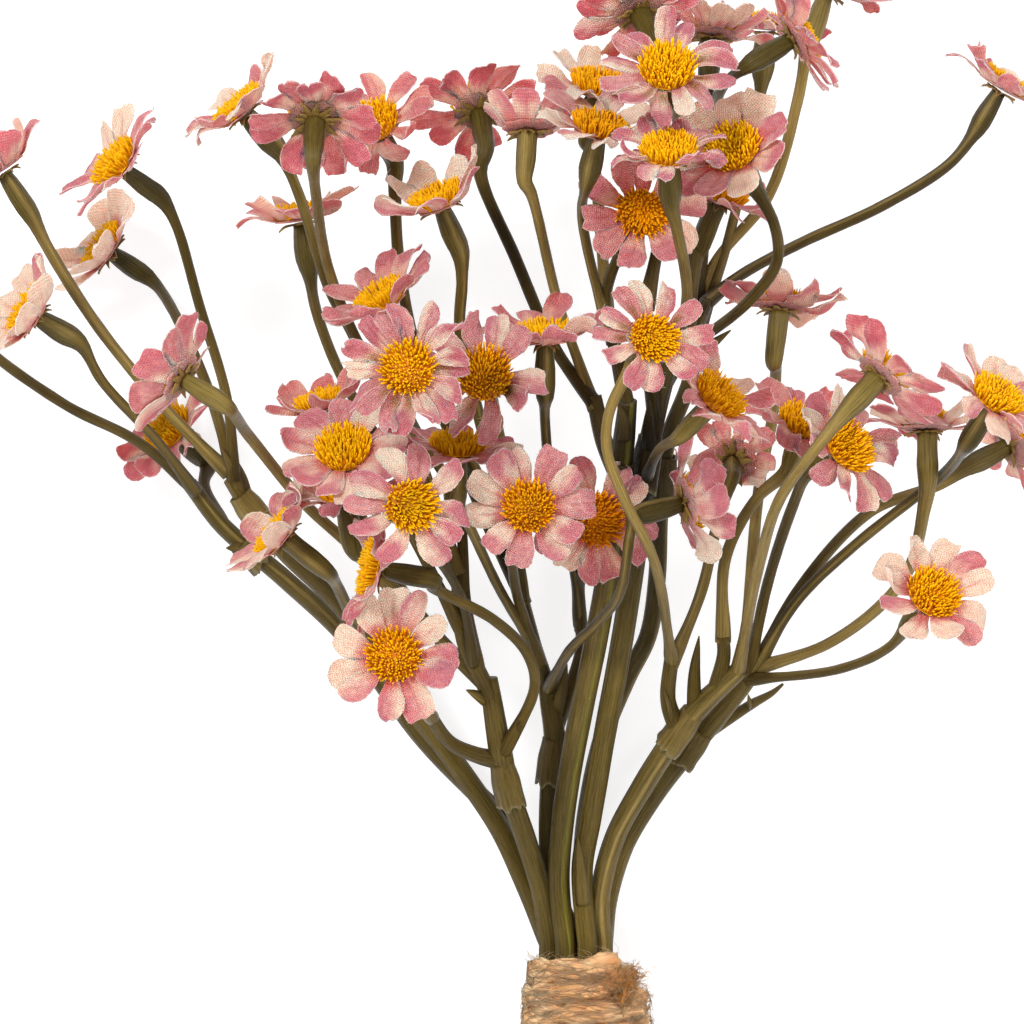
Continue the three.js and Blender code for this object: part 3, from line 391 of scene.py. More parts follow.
def spline(points, step):
    """Points about a step apart on a centripetal curve through the given ones, with shares."""
    ends = [points[0] * 2 - points[1], *points, points[-1] * 2 - points[-2]]
    line = []
    for k in range(len(points) - 1):
        before, start, stop, after = ends[k:k + 4]
        first, middle, last = (max((b - a).length ** 0.5, 1e-3)
                               for a, b in zip(ends[k:k + 3], ends[k + 1:k + 4]))
        leave = (start - before) / first - (stop - before) / (first + middle)
        leave = (leave + (stop - start) / middle) * middle
        arrive = (stop - start) / middle - (after - start) / (middle + last)
        arrive = (arrive + (after - stop) / last) * middle
        count = max(2, round((stop - start).length / step))
        for i in range(count):
            t = i / count
            at = start + leave * t + (3 * (stop - start) - 2 * leave - arrive) * t * t
            line.append((at + (2 * (start - stop) + leave + arrive) * t ** 3, k + t))
    return line + [(points[-1].copy(), len(points) - 1)]


class Line:
    """Frames along a line of points, carried on without twist."""

    def __init__(self, points, first_axis=None):
        self.at = points
        self.axis, self.across, self.up, self.run = [], [], [], [0.0]
        axis = (first_axis or (points[1] - points[0])).normalized()
        helper = Vector((0, 0, 1)) if abs(axis.z) < 0.8 else Vector((1, 0, 0))
        across = helper.cross(axis).normalized()
        for i, point in enumerate(points):
            axis = (points[min(i + 1, len(points) - 1)] - points[max(i - 1, 0)]).normalized()
            across = (across - axis * across.dot(axis)).normalized()
            self.axis.append(axis)
            self.across.append(across)
            self.up.append(axis.cross(across))
            if i:
                self.run.append(self.run[-1] + (point - points[i - 1]).length)

    def out(self, i, angle):
        """The way off the line at an angle round it."""
        return self.across[i] * math.cos(angle) + self.up[i] * math.sin(angle)


# ---------------------------------------------------------------- meshes

class Shape:
    """Corners with a colour and a grain position each, and faces over them."""

    def __init__(self):
        self.places, self.colours, self.grains, self.faces = [], [], [], []

    def corner(self, at, colour, grain):
        self.places.append(tuple(at))
        self.colours.append((*colour, 1.0))
        self.grains.append(grain)
        return len(self.places) - 1

    def skin(self, rings):
        """Faces from each ring of corners to the next."""
        for low, high in zip(rings, rings[1:]):
            for i in range(len(low)):
                k = (i + 1) % len(low)
                self.faces.append((low[i], low[k], high[k], high[i]))

    def solid(self, rings):
        """A closed body over rings of corners."""
        self.skin(rings)
        self.faces += [tuple(reversed(rings[0])), tuple(rings[-1])]

    def sheet(self, top, bottom):
        """A thin closed body between two grids of corners."""
        self.skin([low + high[::-1] for low, high in zip(bottom, top)])
        for low, high in ((bottom[0][::-1], top[0][::-1]), (bottom[-1], top[-1])):
            for i in range(len(low) - 1):
                self.faces.append((low[i], low[i + 1], high[i + 1], high[i]))

    def tube(self, line, radius, sides, colour, seed=0.0):
        """A closed tube; radius and colour are functions of the station and the angle."""
        rings = []
        for i, at in enumerate(line.at):
            rings.append([])
            for angle in around(sides):
                place = at + line.out(i, angle) * radius(i, angle)
                grain = (math.cos(angle) * 2 + seed, math.sin(angle) * 2, line.run[i])
                rings[-1].append(self.corner(place, colour(i, angle), grain))
        self.solid(rings)

    def piece(self, name, material, slot, *nodes):
        """The shape as an object that rides on the root and replaces the given nodes."""
        mesh = bpy.data.meshes.new(name)
        mesh.from_pydata(np.array(self.places) * MM, [], self.faces)
        tone = mesh.color_attributes.new("tone", "FLOAT_COLOR", "POINT")
        tone.data.foreach_set("color", np.array(self.colours, dtype=np.float32).ravel())
        grain = mesh.attributes.new("grain", "FLOAT_VECTOR", "POINT")
        grain.data.foreach_set("vector", np.array(self.grains, dtype=np.float32).ravel())
        mesh.polygons.foreach_set("use_smooth", [True] * len(mesh.polygons))
        mesh.update()
        mesh.materials.append(material)
        piece = bpy.data.objects.new(name, mesh)
        bpy.context.scene.collection.objects.link(piece)
        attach(piece, "root")
        if nodes:
            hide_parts(*nodes)


# ---------------------------------------------------------------- materials

def node(tree, kind, inputs=(), **settings):
    """A new node's first output; each input is a value or the output that feeds it."""
    made = tree.nodes.new("ShaderNode" + kind)
    for key, value in settings.items():
        setattr(made, key, value)
    for key, value in dict(inputs).items():
        if isinstance(value, bpy.types.NodeSocket):
            tree.links.new(value, made.inputs[key])
        else:
            made.inputs[key].default_value = value
    return made.outputs[0]


class Surface:
    """A material that multiplies the corners' colours by patterns on their grain."""

    def __init__(self, name, sockets):
        self.material = bpy.data.materials.new(name)
        self.material.use_nodes = True
        self.tree = self.material.node_tree
        self.shader = self.tree.nodes["Principled BSDF"]
        for key, value in sockets.items():
            self.shader.inputs[key].default_value = value

    def node(self, kind, inputs=(), **settings):
        return node(self.tree, kind, inputs, **settings)

    def math(self, operation, *values):
        return self.node("Math", enumerate(values), operation=operation)

    def grain(self, factors=None):
        """The grain position in millimetres, squeezed or stretched by factors."""
        attribute = self.node("Attribute", attribute_name="grain").node.outputs["Vector"]
        if factors is None:
            return attribute
        return self.node("VectorMath", {0: attribute, 1: factors}, operation="MULTIPLY")

    def noise(self, grain, scale, detail=3.0):
        return self.node("TexNoise", {"Vector": grain, "Scale": scale, "Detail": detail})

    def spread(self, value, low, high):
        return self.node("MapRange", {"Value": value, "To Min": low, "To Max": high})

    def tint(self, factor, strengths=(1.0, 1.0, 1.0)):
        """The corner colours times a factor that works on each colour by its own strength."""
        changes = [self.math("MULTIPLY", self.math("SUBTRACT", factor, 1.0), strength)
                   for strength in strengths]
        factors = [self.math("ADD", change, 1.0) for change in changes]
        tone = self.node("Attribute", attribute_name="tone")
        product = self.node("VectorMath", operation="MULTIPLY", inputs={
            0: tone, 1: self.node("CombineXYZ", enumerate(factors))})
        self.tree.links.new(product, self.shader.inputs["Base Color"])

    def bump(self, height, distance, strength):
        normal = self.node("Bump", {"Height": height, "Distance": distance, "Strength": strength})
        self.tree.links.new(normal, self.shader.inputs["Normal"])


# Threads of the cloth lie this far apart, along both diagonals.
THREAD_GAP = 0.44


def cloth_material():
    cloth = Surface("petal_cloth", {
        "Roughness": 0.95, "Sheen Weight": 0.08, "Sheen Roughness": 0.4,
        "Specular IOR Level": 0.12, "Subsurface Weight": 0.72,
        "Subsurface Radius": (0.002, 0.0009, 0.0008), "Subsurface Scale": 1.0})
    grain = cloth.grain()
    split = cloth.node("SeparateXYZ", {0: grain}).node.outputs
    threads = [cloth.math("MULTIPLY", cloth.math(way, split["X"], split["Y"]), math.pi / THREAD_GAP)
               for way in ("ADD", "SUBTRACT")]
    weave = cloth.math("MULTIPLY", *(cloth.math("SINE", turn) for turn in threads))
    fine = cloth.noise(grain, 2.6, 2.0)
    lightness = cloth.math("ADD", cloth.spread(cloth.noise(grain, 0.7), 0.8, 1.2),
                           cloth.math("MULTIPLY", weave, 0.2))
    cloth.tint(cloth.math("ADD", lightness, cloth.spread(fine, -0.15, 0.15)), (0.5, 1.05, 1.05))
    cloth.bump(cloth.math("ADD", weave, cloth.math("MULTIPLY", fine, 1.5)), 0.00013, 0.9)
    return cloth.material


def bristle_material():
    bristle = Surface("disc_bristles", {
        "Roughness": 0.55, "Specular IOR Level": 0.16, "Subsurface Weight": 0.12,
        "Subsurface Radius": (0.001, 0.0006, 0.0002)})
    grain = bristle.grain()
    bristle.tint(bristle.spread(bristle.noise(grain, 1.5), 0.86, 1.12))
    bristle.bump(bristle.noise(grain, 6.0), 0.00005, 0.4)
    return bristle.material


def stem_material():
    """Dull moulded plastic with streaks along it and light specks that are painted glints."""
    stem = Surface("stem_plastic", {"IOR": 1.24})
    streaks = stem.noise(stem.grain((1.6, 1.6, 0.06)), 1.6, 4.0)
    fine = stem.noise(stem.grain((6.0, 6.0, 0.35)), 1.0)
    # Painted glints: light specks where the noise is high.
    glint_specks = stem.math("GREATER_THAN", stem.noise(stem.grain((1.0, 1.0, 0.8)), 3.6, 2.0), 0.7)
    lightness = stem.math("ADD", stem.spread(streaks, 0.15, 1.75), stem.spread(fine, -0.35, 0.35))
    stem.tint(stem.math("ADD", lightness, stem.math("MULTIPLY", glint_specks, 0.9)))
    stem.tree.links.new(stem.spread(fine, 0.14, 0.5), stem.shader.inputs["Roughness"])
    height = stem.math("ADD", stem.math("MULTIPLY", streaks, 1.5), stem.math("MULTIPLY", fine, 0.8))
    stem.bump(height, 0.0003, 0.8)
    return stem.material


def jute_material():
    jute = Surface("jute_fibre", {
        "Roughness": 0.95, "Specular IOR Level": 0.1, "Subsurface Weight": 0.3,
        "Subsurface Radius": (0.0012, 0.0007, 0.0004), "Subsurface Scale": 1.0})
    fibres = jute.noise(jute.grain((1.3, 1.3, 0.1)), 2.2, 5.0)
    soft = jute.noise(jute.grain((1.0, 1.0, 0.5)), 1.1)
    lightness = jute.math("ADD", jute.spread(fibres, 0.4, 1.8), jute.spread(soft, -0.15, 0.15))
    jute.tint(lightness, (0.6, 1.0, 1.3))
    jute.bump(fibres, 0.0006, 0.9)
    return jute.material


CLOTH = cloth_material()
BRISTLE = bristle_material()
PLASTIC = stem_material()
JUTE_FIBRE = jute_material()


# ---------------------------------------------------------------- flower heads

# Petals of the heads: number, half width, how much they vary, how much further they are cupped
# than the solid ones, and width of the root and reach as shares.
USUAL_LOOK = (11, 2.65, 1.15, 0, 0.42, 1)
LOOKS = {
    "k15": (16, 2.1, 1.3), "v": (10, 2.5, 1.3), "q": (9, 3.5, 0.5, 1.2, 0.6),
    "t": (12, 2.35, 0.8), "p": (13, 2.0, 1.2, 0.6, 0.42, 0.86), "j": (12, 2.3, 1.2),
    "k": (11, 2.6, 1.0), "o": (13, 2.2, 1.1), "k21": (10, 2.7, 1.2), "k22": (11, 2.9, 0.9),
    "k26": (11, 2.95, 0.9, 0.8), "af": (11, 2.9, 1.0, 1.0), "k19": (11, 3.1, 0.8, 0.8),
    "l": (9, 3.8, 0.35, -1.5, 0.7, 1.08), "h": (13, 2.6, 0.8), "ta": (16, 2.2, 1.3),
    "m": (9, 3.0, 1.5, 2.6), "s": (9, 3.5, 1.2, 0.4, 0.6), "r": (10, 2.8, 1.1),
    "bb": (10, 3.1, 1.2, 0.6), "c": (8, 3.6, 1.0, 3.0, 0.65), "i": (9, 3.4, 0.9, 0.4),
    "d": (9, 3.5, 0.8, 3.0, 0.65), "u": (10, 2.9, 1.3, 2.2), "e": (9, 3.5, 0.5, 1.6, 0.65),
    "ba": (10, 2.9, 1.2, 1.4), "b": (11, 2.6, 1.2, 1.0), "a": (9, 3.4, 0.9, 4.0, 0.65),
    "g": (9, 3.1, 1.2, 2.2), "k18": (8, 3.2, 1.0, 2.2), "k24": (9, 3.2, 1.1, 1.5),
    "k14": (12, 2.4, 1.2, 2.2),
}

# Colour families: heads not named here are the usual mauve with pale roots.
PEACH_HEADS = {"bb", "n1", "n2", "c", "d", "g", "tb", "m", "k24"}
BLUSHED_HEADS = {"k26", "af", "k22", "q", "l", "ab", "k19"}
PALE_HEADS = {"c", "g", "d"}
DEEP_HEADS = {"ta", "k", "h", "td", "aa", "te", "f"}
ROSE_HEADS = {"k23", "x", "k14", "w", "k2", "u", "tc", "r", "a"}
SALMON_HEADS = {"j", "s", "i", "k18"}
STAINED_HEADS = {"v", "t", "o", "k15"}
BROWN_BACKS = {"h": 0.8, "k": 0.6, "ta": 0.4, "j": 0.4, "td": 0.3, "bb": 0.3}
# How often petals are of each kind: the first family that has the head counts.
PETAL_KINDS = ("tipped", "pale", "plain", "sided")
KIND_ODDS = ((BLUSHED_HEADS, (0.25, 0.37, 0.1, 0.28)), (PALE_HEADS, (0.1, 0.8, 0.0, 0.1)),
             (DEEP_HEADS, (0.75, 0.0, 0.15, 0.1)), (PEACH_HEADS, (0.2, 0.42, 0.1, 0.28)))
USUAL_ODDS = (0.46, 0.08, 0.28, 0.18)

OLIVE_DISCS = {"v": 0.12, "t": 0.2, "k22": 0.25, "k21": 0.38, "k19": 0.2, "f": 0.3, "q": 0.12}
ORANGE_DISCS = {"r": 0.7, "k23": 1.0, "k22": 0.45, "v": 0.55, "x": 0.7, "w": 0.4, "q": 0.0,
                "k21": 0.0, "k15": 0.0, "o": 0.0, "n1": 0.4, "n2": 0.5, "ae": 0.25, "t": 0.15,
                "k2": 0.4}
# Discs with their bristles combed to one side, mm.
COMBED = {"r": (-0.5, -1.5, 0.2), "t": (0.2, -0.9, 0), "v": (0.3, 0.5, 0.2), "k21": (0.9, -0.5, 0),
          "o": (0, 0.5, 0.3), "k22": (-0.2, 0.3, 0.1), "k19": (0.1, 0.7, 0), "q": (0.2, 0.4, 0)}
# Heads with a dark spot at a place of the reference view.
DARK_SPOTS = {"v": (506, 391)}
DARK_SPOT_WIDTH = 2.7

# Backs of the two heads that rest on the surface.
RESTING_HEIGHTS = {"c": 13.337, "y": 13.429}

# Each petal's columns from edge to edge, its rows, where it starts and where its tip begins.
PETAL_COLUMNS = (-1, -0.95, -0.8, -0.6, -0.4, -0.2, 0, 0.2, 0.4, 0.6, 0.8, 0.95, 1)
PETAL_ROWS = 28
PETAL_START = 3.2
TIP_START = 0.66
# Petals lie in three layers, taken in turn.
LAYERS = (0.0, 1.0, 0.5)
BLUNT_SHARE = 0.42
THREAD_RADIUS = 0.045
THREAD_SIDES = 3

# Rings of the hub and of the disc under the bristles, as (radius, height).
HUB_PROFILE = ((0.6, 0.5), (2.2, 0.5), (3.7, 0.6), (5.0, 0.78))
HUB_SIDES = 44
CORE_PROFILE = ((4.3, 0.9), (4.85, 1.0), (4.9, 1.15), (4.7, 1.3), (4.4, 1.5), (3.8, 1.85),
                (2.4, 1.95), (1.0, 1.85))
CORE_SIDES = 32
DRUM_RADIUS = 4.75
GOLDEN_ANGLE = math.pi * (3 - math.sqrt(5))
BRISTLE_SIDES = 4


class Head:
    """A flower's place, axes and look."""

    def __init__(self, flower, index):
        self.id, self.stem, back, faces, self.rise, self.via, self.joins = flower
        self.chance = random.Random(BUNCH_SEED + index * 101)
        self.size = SMALL_HEADS.get(self.id, 1)
        look = LOOKS.get(self.id, ())
        look += USUAL_LOOK[len(look):]
        self.petals, self.half, self.wild, self.cup, self.root, self.reach = look
        self.brown = BROWN_BACKS.get(self.id, 0.0)
        self.back = seen(back[0], back[1], RESTING_HEIGHTS.get(self.id, back[2]))
        self.facing = Vector(faces).normalized()
        helper = Vector((0, 0, 1)) if abs(self.facing.z) < 0.9 else Vector((0, 1, 0))
        self.first = helper.cross(self.facing).normalized()
        self.second = self.facing.cross(self.first)
        self.spot = None
        if self.id in DARK_SPOTS:
            self.spot = seen(*DARK_SPOTS[self.id], self.back.z + 2)

    def outward(self, angle):
        return self.first * math.cos(angle) + self.second * math.sin(angle)

    def place(self, radius, angle, height, side=0.0):
        out = self.outward(angle)
        point = self.back + out * radius + self.facing.cross(out) * side + self.facing * height
        point.z = max(point.z, SURFACE_CLEARANCE)
        return point

    # Darkens colours near the head's dark spot.
    def darkened_at_spot(self, tone, at):
        if self.spot is None:
            return tone
        return mixed(tone, DARK_SPOT_COLOUR, 1.2 * hump((at - self.spot).length, DARK_SPOT_WIDTH))


def head_tones(head):
    """The deep and the pale colour of a head's petals, and how strong the blush at the disc is."""
    draw = head.chance.uniform
    if head.id in PEACH_HEADS:
        return mixed(MAUVE, PEACH, draw(0.1, 0.4)), PALE, draw(0.35, 0.65)
    if head.id in BLUSHED_HEADS:
        return mixed(MAUVE, PEACH, draw(0, 0.3)), mixed(PALE, PEACH, 0.15), draw(0.75, 0.95)
    if head.id in SALMON_HEADS:
        return mixed(MAUVE, SALMON, draw(0.4, 0.6)), mixed(PALE, PEACH, 0.5), 0.6
    if head.id in DEEP_HEADS:
        return mixed(MAUVE, DEEP_ROSE, draw(0.6, 0.95)), mixed(PALE, MAUVE, 0.15), 0.15
    if head.id in ROSE_HEADS:
        return mixed(MAUVE, SALMON, draw(0.15, 0.35)), mixed(PALE, PEACH, 0.5), 0.6
    return mixed(MAUVE, DEEP_ROSE, draw(0, 0.3)), PALE, draw(0.2, 0.55)


class Petal:
    """The form and colours of one petal, drawn by chance."""

    def __init__(self, head, index, tones):
        chance, wild, count = head.chance, head.wild, head.petals
        draw, near = chance.uniform, chance.triangular
        self.head = head
        self.deep, self.pale, self.blush = tones
        self.angle = TAU * (index + draw(-0.2, 0.2)) / count
        self.sweep = draw(-0.2, 0.2) * wild
        # The last petal doesn't lie in the first one's layer.
        closing = index == count - 1 and count % 3 == 1
        self.layer = layer = 1.0 if closing else LAYERS[index % 3]
        self.reach = HEAD_RADIUS * head.size * head.reach * draw(0.87, 0.99)
        self.half = head.half * head.size * draw(0.86, 1.1)
        lift = head.rise + head.cup + (draw(-1.2, 0.2) + 1.2 * layer) * wild
        self.incline = math.atan2(lift, self.reach - HUB_RADIUS)
        self.bow = draw(-0.25, 0.4)
        self.curl = (near(-1.2, 0.7, -0.2) + 0.4 * layer) * wild
        self.roll = near(-0.8, 0.8, 0.0) * wild
        self.roll_at = draw(0.1, 0.4)
        self.bowl = (near(-0.9, 0.5, -0.1) + 0.9 * layer) * wild
        self.bowl_tip = (near(-1.5, 0.8, -0.2) + 0.5 * layer) * wild
        self.crease = chance.choice((0.0, 0.1, 0.2, 0.35))
        self.wave = draw(0.15, 0.6) * wild
        self.beats, self.phase = draw(3, 7), draw(0, 6.3)
        blunt = chance.random() < BLUNT_SHARE
        self.square = draw(3.0, 4.0) if blunt else draw(2.3, 3.0)
        self.end = draw(0.95, 0.975) if blunt else 0.995
        self.scallop = draw(0.06, 0.26) if blunt else 0.03
        self.scallops = draw(2.5, 5.5)
        self.root = head.root + draw(-0.06, 0.08)
        self.seed = draw(0, 60)
        weave_turn = draw(-0.5, 0.5)
        self.weave_cos, self.weave_sin = math.cos(weave_turn), math.sin(weave_turn)
        odds = next((odds for heads, odds in KIND_ODDS if head.id in heads), USUAL_ODDS)
        self.kind = chance.choices(PETAL_KINDS, odds)[0]
        self.side_tilt = chance.choice((-1, 1)) * draw(0.6, 1.0)
        self.tip_tone = mixed(self.deep, MAUVE, draw(0, 0.5))
        self.pale_to = 0.66 if head.brown else draw(0.6, 0.8)
        self.stain = head.id in STAINED_HEADS and chance.random() < 0.35

    def half_width(self, along):
        neck = self.root + (1 - self.root) * smooth(0.02, TIP_START, along)
        width = self.half * neck * (1 + 0.05 * rough(along * 14, self.seed, 0))
        tip = max(along - TIP_START, 0) / (1 - TIP_START)
        return width * max(1 - tip ** self.square, 0.0) ** (1 / self.square)

    def middle_line(self):
        """Radius, height, inclination and share of the length at the middle of each row."""
        length = (self.reach - PETAL_START) * 1.015
        radius, height, before = PETAL_START, HUB_HEIGHT - 0.15 + self.layer * 0.4, 0.0
        for row in range(PETAL_ROWS):
            along = (1 - (1 - row / (PETAL_ROWS - 1)) ** 1.6) * self.end
            rise = self.incline + self.bow * (1 - 2.2 * along)
            rise = (rise + self.curl * smooth(0.5, 1, along)) * smooth(0.08, 0.28, along)
            step = (along - before) * length
            radius += step * math.cos(rise)
            height += step * math.sin(rise)
            before = along
            yield radius, height, rise, along

    def colour(self, along, across):
        patch = rough(across * 1.1, along * 2.3, self.seed)
        mottle = rough(across * 4.5, along * 8.0, self.seed + 9)
        if self.kind == "tipped":
            pale_to = self.pale_to + 0.35 * patch + 0.08 * across ** 2
            paleness = 0.92 * (1 - smooth(pale_to - 0.5, pale_to, along))
        elif self.kind == "pale":
            paleness = 0.25 + 0.8 * smooth(0.16, 0.5, along + 0.2 * patch)
            paleness -= 0.3 * smooth(0.8, 1.0, along) * patch
        elif self.kind == "sided":
            paleness = 0.675 - 0.75 * self.side_tilt * across + 0.3 * patch - 0.35 * along
        else:
            paleness = 0.32 + 0.2 * patch - 0.2 * along
        tone = mixed(self.tip_tone, self.pale, paleness + 0.22 * mottle) * (1 + 0.1 * mottle)
        tone = mixed(tone, BLUSH, self.blush * (1 - smooth(0.1, 0.5, along + 0.15 * patch)))
        # Painted shade: deep rose along the crease, and at both sides near the root where the
        # petals overlap.
        crease_shade = smooth(0.1, 0.3, along) * (1 - smooth(0.6, 0.95, along))
        crease_shade *= self.crease * hump(across, 0.14)
        edge = smooth(0.7, 1.0, abs(across)) * (1 - smooth(0.3, 0.7, along))
        tone = mixed(tone, DEEP_ROSE, 1.3 * crease_shade + 0.3 * edge)
        if self.stain:
            tone = mixed(tone, STAIN, 0.8 * hump(across - 0.3, 0.55) * hump(along - 0.34, 0.17))
        return tone

    def relief(self, column, along, side, radius):
        """Height of the cloth over its middle line."""
        ripple = self.wave * column * abs(column) * math.sin(self.beats * along + self.phase)
        bowl = self.bowl * (1 - along) + self.bowl_tip * along
        relief = (bowl * column ** 2 + ripple) * smooth(0.05, 0.4, along)
        relief -= self.crease * hump(column, 0.16) * smooth(0.1, 0.5, along)
        relief += 0.2 * rough(side * 0.5, radius * 0.42, self.seed)
        return relief + 0.07 * rough(side * 1.5, radius * 1.1, self.seed + 5)

    def add_to(self, shape):
        head = self.head
        top, bottom = [], []
        for radius, height, rise, along in self.middle_line():
            out = head.outward(self.angle + self.sweep * along ** 2)
            level = head.facing.cross(out)
            normal = head.facing * math.cos(rise) - out * math.sin(rise)
            ahead = out * math.cos(rise) + head.facing * math.sin(rise)
            roll = self.roll * smooth(self.roll_at, 1.0, along)
            across = level * math.cos(roll) + normal * math.sin(roll)
            surface = normal * math.cos(roll) - level * math.sin(roll)
            middle = head.back + out * radius + head.facing * height
            half = self.half_width(along)
            tip_zone = smooth(0.8, 1.0, along / self.end)
            at_end = along >= self.end * 0.995
            top.append([])
            bottom.append([])
            for column in PETAL_COLUMNS:
                side = column * half
                relief = self.relief(column, along, side, radius)
                cut = self.scallop * math.sin(self.scallops * column + self.phase) * tip_zone
                on_rim = abs(column) == 1 or along == self.end
                ragged = head.chance.uniform(-0.09, 0.06) if on_rim else 0.0
                side += ragged * column
                at = middle + across * side + surface * relief + ahead * (cut + ragged * tip_zone)
                rim = 1.0 if at_end else smooth(0.93, 1.0, abs(column))
                tone = head.darkened_at_spot(self.colour(along, column), at)
                above = mixed(tone, FRAYED, 0.42 * rim * smooth(0.12, 0.4, along))
                # Painted light: the underside is painted brighter than the top, for light through
                # the cloth.
                below = mixed(mixed(tone, UNDERSIDE, 0.1) * 1.14, FRAYED, 0.3 * rim)
                brown_to = 6.8 + 2.4 * rough(column * 3, self.seed, 1)
                below = mixed(below, HUB_BROWN, head.brown * (1 - smooth(3.0, brown_to, radius)))
                grain = (side * self.weave_cos - radius * self.weave_sin,
                         side * self.weave_sin + radius * self.weave_cos, self.seed)
                under = at - surface * SHEET
                at.z = max(at.z, SURFACE_CLEARANCE * 2)
                under.z = max(under.z, SURFACE_CLEARANCE)
                top[-1].append(shape.corner(at, above, grain))
                bottom[-1].append(shape.corner(under, below, grain))
        shape.sheet(top, bottom)
        self.add_threads(shape, top)

    def add_threads(self, shape, rows):
        """Loose threads at the cut edges."""
        chance, draw = self.head.chance, self.head.chance.uniform
        for _ in range(chance.randint(1, 4)):
            row = rows[chance.randint(6, PETAL_ROWS - 2)]
            outer, inner = (row[0], row[2]) if chance.random() < 0.5 else (row[-1], row[-3])
            rim = Vector(shape.places[outer])
            away = (rim - Vector(shape.places[inner])).normalized()
            bend = Vector([draw(-0.3, 0.3) for _ in range(3)])
            tip = rim + away * draw(0.25, 0.7) + bend
            tip.z = max(tip.z, 0.1)
            line = Line([rim - away * 0.15, rim.lerp(tip, 0.5) + bend * 0.4, tip])
            thin = lambda i, a: THREAD_RADIUS - 0.01 * i
            shape.tube(line, thin, THREAD_SIDES, lambda i, a: FRAYED)


def add_hub(shape, head, tones):
    """The cloth between the petals' roots, under the disc."""
    colour = mixed(tones[1], BLUSH, 0.3 + 0.4 * tones[2])
    top, bottom = [], []
    for radius, height in HUB_PROFILE:
        top.append([])
        bottom.append([])
        brown = BROWN_BACKS.get(head.id, 0.15) * (1.15 - 0.15 * radius)
        under = mixed(mixed(colour, UNDERSIDE, 0.5), HUB_BROWN, brown)
        for angle in around(HUB_SIDES):
            reach = radius + (0.3 * math.cos(head.petals * angle + 1) if radius > 4 else 0)
            grain = (reach * math.cos(angle), reach * math.sin(angle), 3)
            top[-1].append(shape.corner(head.place(reach, angle, height), colour, grain))
            at = head.place(reach, angle, height - HUB_SHEET)
            bottom[-1].append(shape.corner(at, under, grain))
    shape.solid(bottom + top[::-1])


def add_core(shape, head, bright, olive):
    """The moulded disc that the bristles stand on, with its thin lip."""
    rings = []
    for radius, height in CORE_PROFILE:
        rings.append([])
        # Painted shade: the core takes the colour of the gaps between the bristles; only the ring
        # at its outer lip is lighter.
        shade = mixed(DISC_GAP_SHADE, bright, 0.7 if 1.0 < height < 1.3 else 0.0)
        shade = mixed(shade, DISC_OLIVE, olive * (1 - radius / 5.6))
        for angle in around(CORE_SIDES):
            c, s = math.cos(angle), math.sin(angle)
            reach = radius + 0.08 * rough(c * 2, s * 2, height * 3 + head.size)
            at = head.place(reach * head.size, angle, height)
            rings[-1].append(shape.corner(at, shade, (radius * c, radius * s, height)))
    shape.solid(rings)


def add_bristle(shape, base, tip, bend, thick, colours, grain):
    """One tapered bristle, bent over its length."""
    axis = (tip - base).normalized()
    side = axis.cross(Vector((0.31, 0.52, 0.79))).normalized()
    other = axis.cross(side)
    rings = []
    # Share of the length, width, sway and colour of each ring.
    stations = zip((0, 0.5, 0.86), (1.2, 1.0, 0.85), (0, 1, 0.55), colours)
    for share, width, sway, colour in stations:
        middle = base.lerp(tip, share) + bend * sway
        rings.append([])
        for angle in around(BRISTLE_SIDES):
            angle += math.pi / BRISTLE_SIDES
            off = side * math.cos(angle) + other * math.sin(angle)
            rings[-1].append(shape.corner(middle + off * thick * width, colour, grain))
    shape.skin(rings)
    top = shape.corner(tip, colours[-1], grain)
    for k in range(BRISTLE_SIDES):
        shape.faces.append((rings[-1][k - 1], rings[-1][k], top))


def add_disc(disc, head):
    """A drum of short bristles: upright at the rim, shorter towards a dimple in the middle."""
    chance, draw = head.chance, head.chance.uniform
    olive = OLIVE_DISCS.get(head.id, draw(0, 0.06))
    bright = mixed(DISC_YELLOW, DISC_ORANGE, ORANGE_DISCS.get(head.id, draw(0, 0.25)))
    deep = mixed(DISC_DEEP, bright, 0.3)
    add_core(disc, head, bright, olive)
    comb = Vector(COMBED.get(head.id, (0, 0, 0)))
    offset = draw(0, 6.3)
    for i in range(BRISTLES):
        share = math.sqrt((i + 0.5) / BRISTLES)
        angle = i * GOLDEN_ANGLE + offset + draw(-0.1, 0.1)
        radius = DRUM_RADIUS * share
        rim = smooth(0.6, 1.0, share)
        top_height = 2.8 + 0.8 * smooth(0.2, 0.75, share) - 0.55 * smooth(0.85, 1.0, share)
        top_height += draw(-0.35, 0.45) + chance.choice((0, 0, 0, 0.45))
        lean = 0.15 + 0.55 * share + 0.6 * rim * rim + draw(-0.25, 0.3)
        turn = angle + draw(-0.3, 0.3) / max(radius, 1.2)
        base = head.place(radius * head.size, angle, 1.7 - 0.8 * rim)
        tip = head.place((radius + lean) * head.size, turn, top_height) + comb * draw(0.5, 1.2)
        bend = head.outward(angle + draw(-0.8, 0.8)) * draw(-0.12, 0.2)
        centre = olive * (1 - smooth(0.3, 0.9, share))
        tone = mixed(bright, DISC_YELLOW, draw(0, 0.35))
        tone = mixed(tone, deep, chance.choice((0, 0, 0.25, 0.5)))
        tone = head.darkened_at_spot(mixed(tone, DISC_OLIVE, centre), tip)
        # Painted shade: each bristle starts at its base in the colour of the gaps, then lightens to
        # its tip.
        low = mixed(head.darkened_at_spot(DISC_GAP_SHADE, tip), DISC_OLIVE, centre)
        grain = (radius * math.cos(angle) * 2, radius * math.sin(angle) * 2, i)
        colours = (low, mixed(tone, deep, 0.4), tone)
        add_bristle(disc, base, tip, bend, draw(0.16, 0.25), colours, grain)


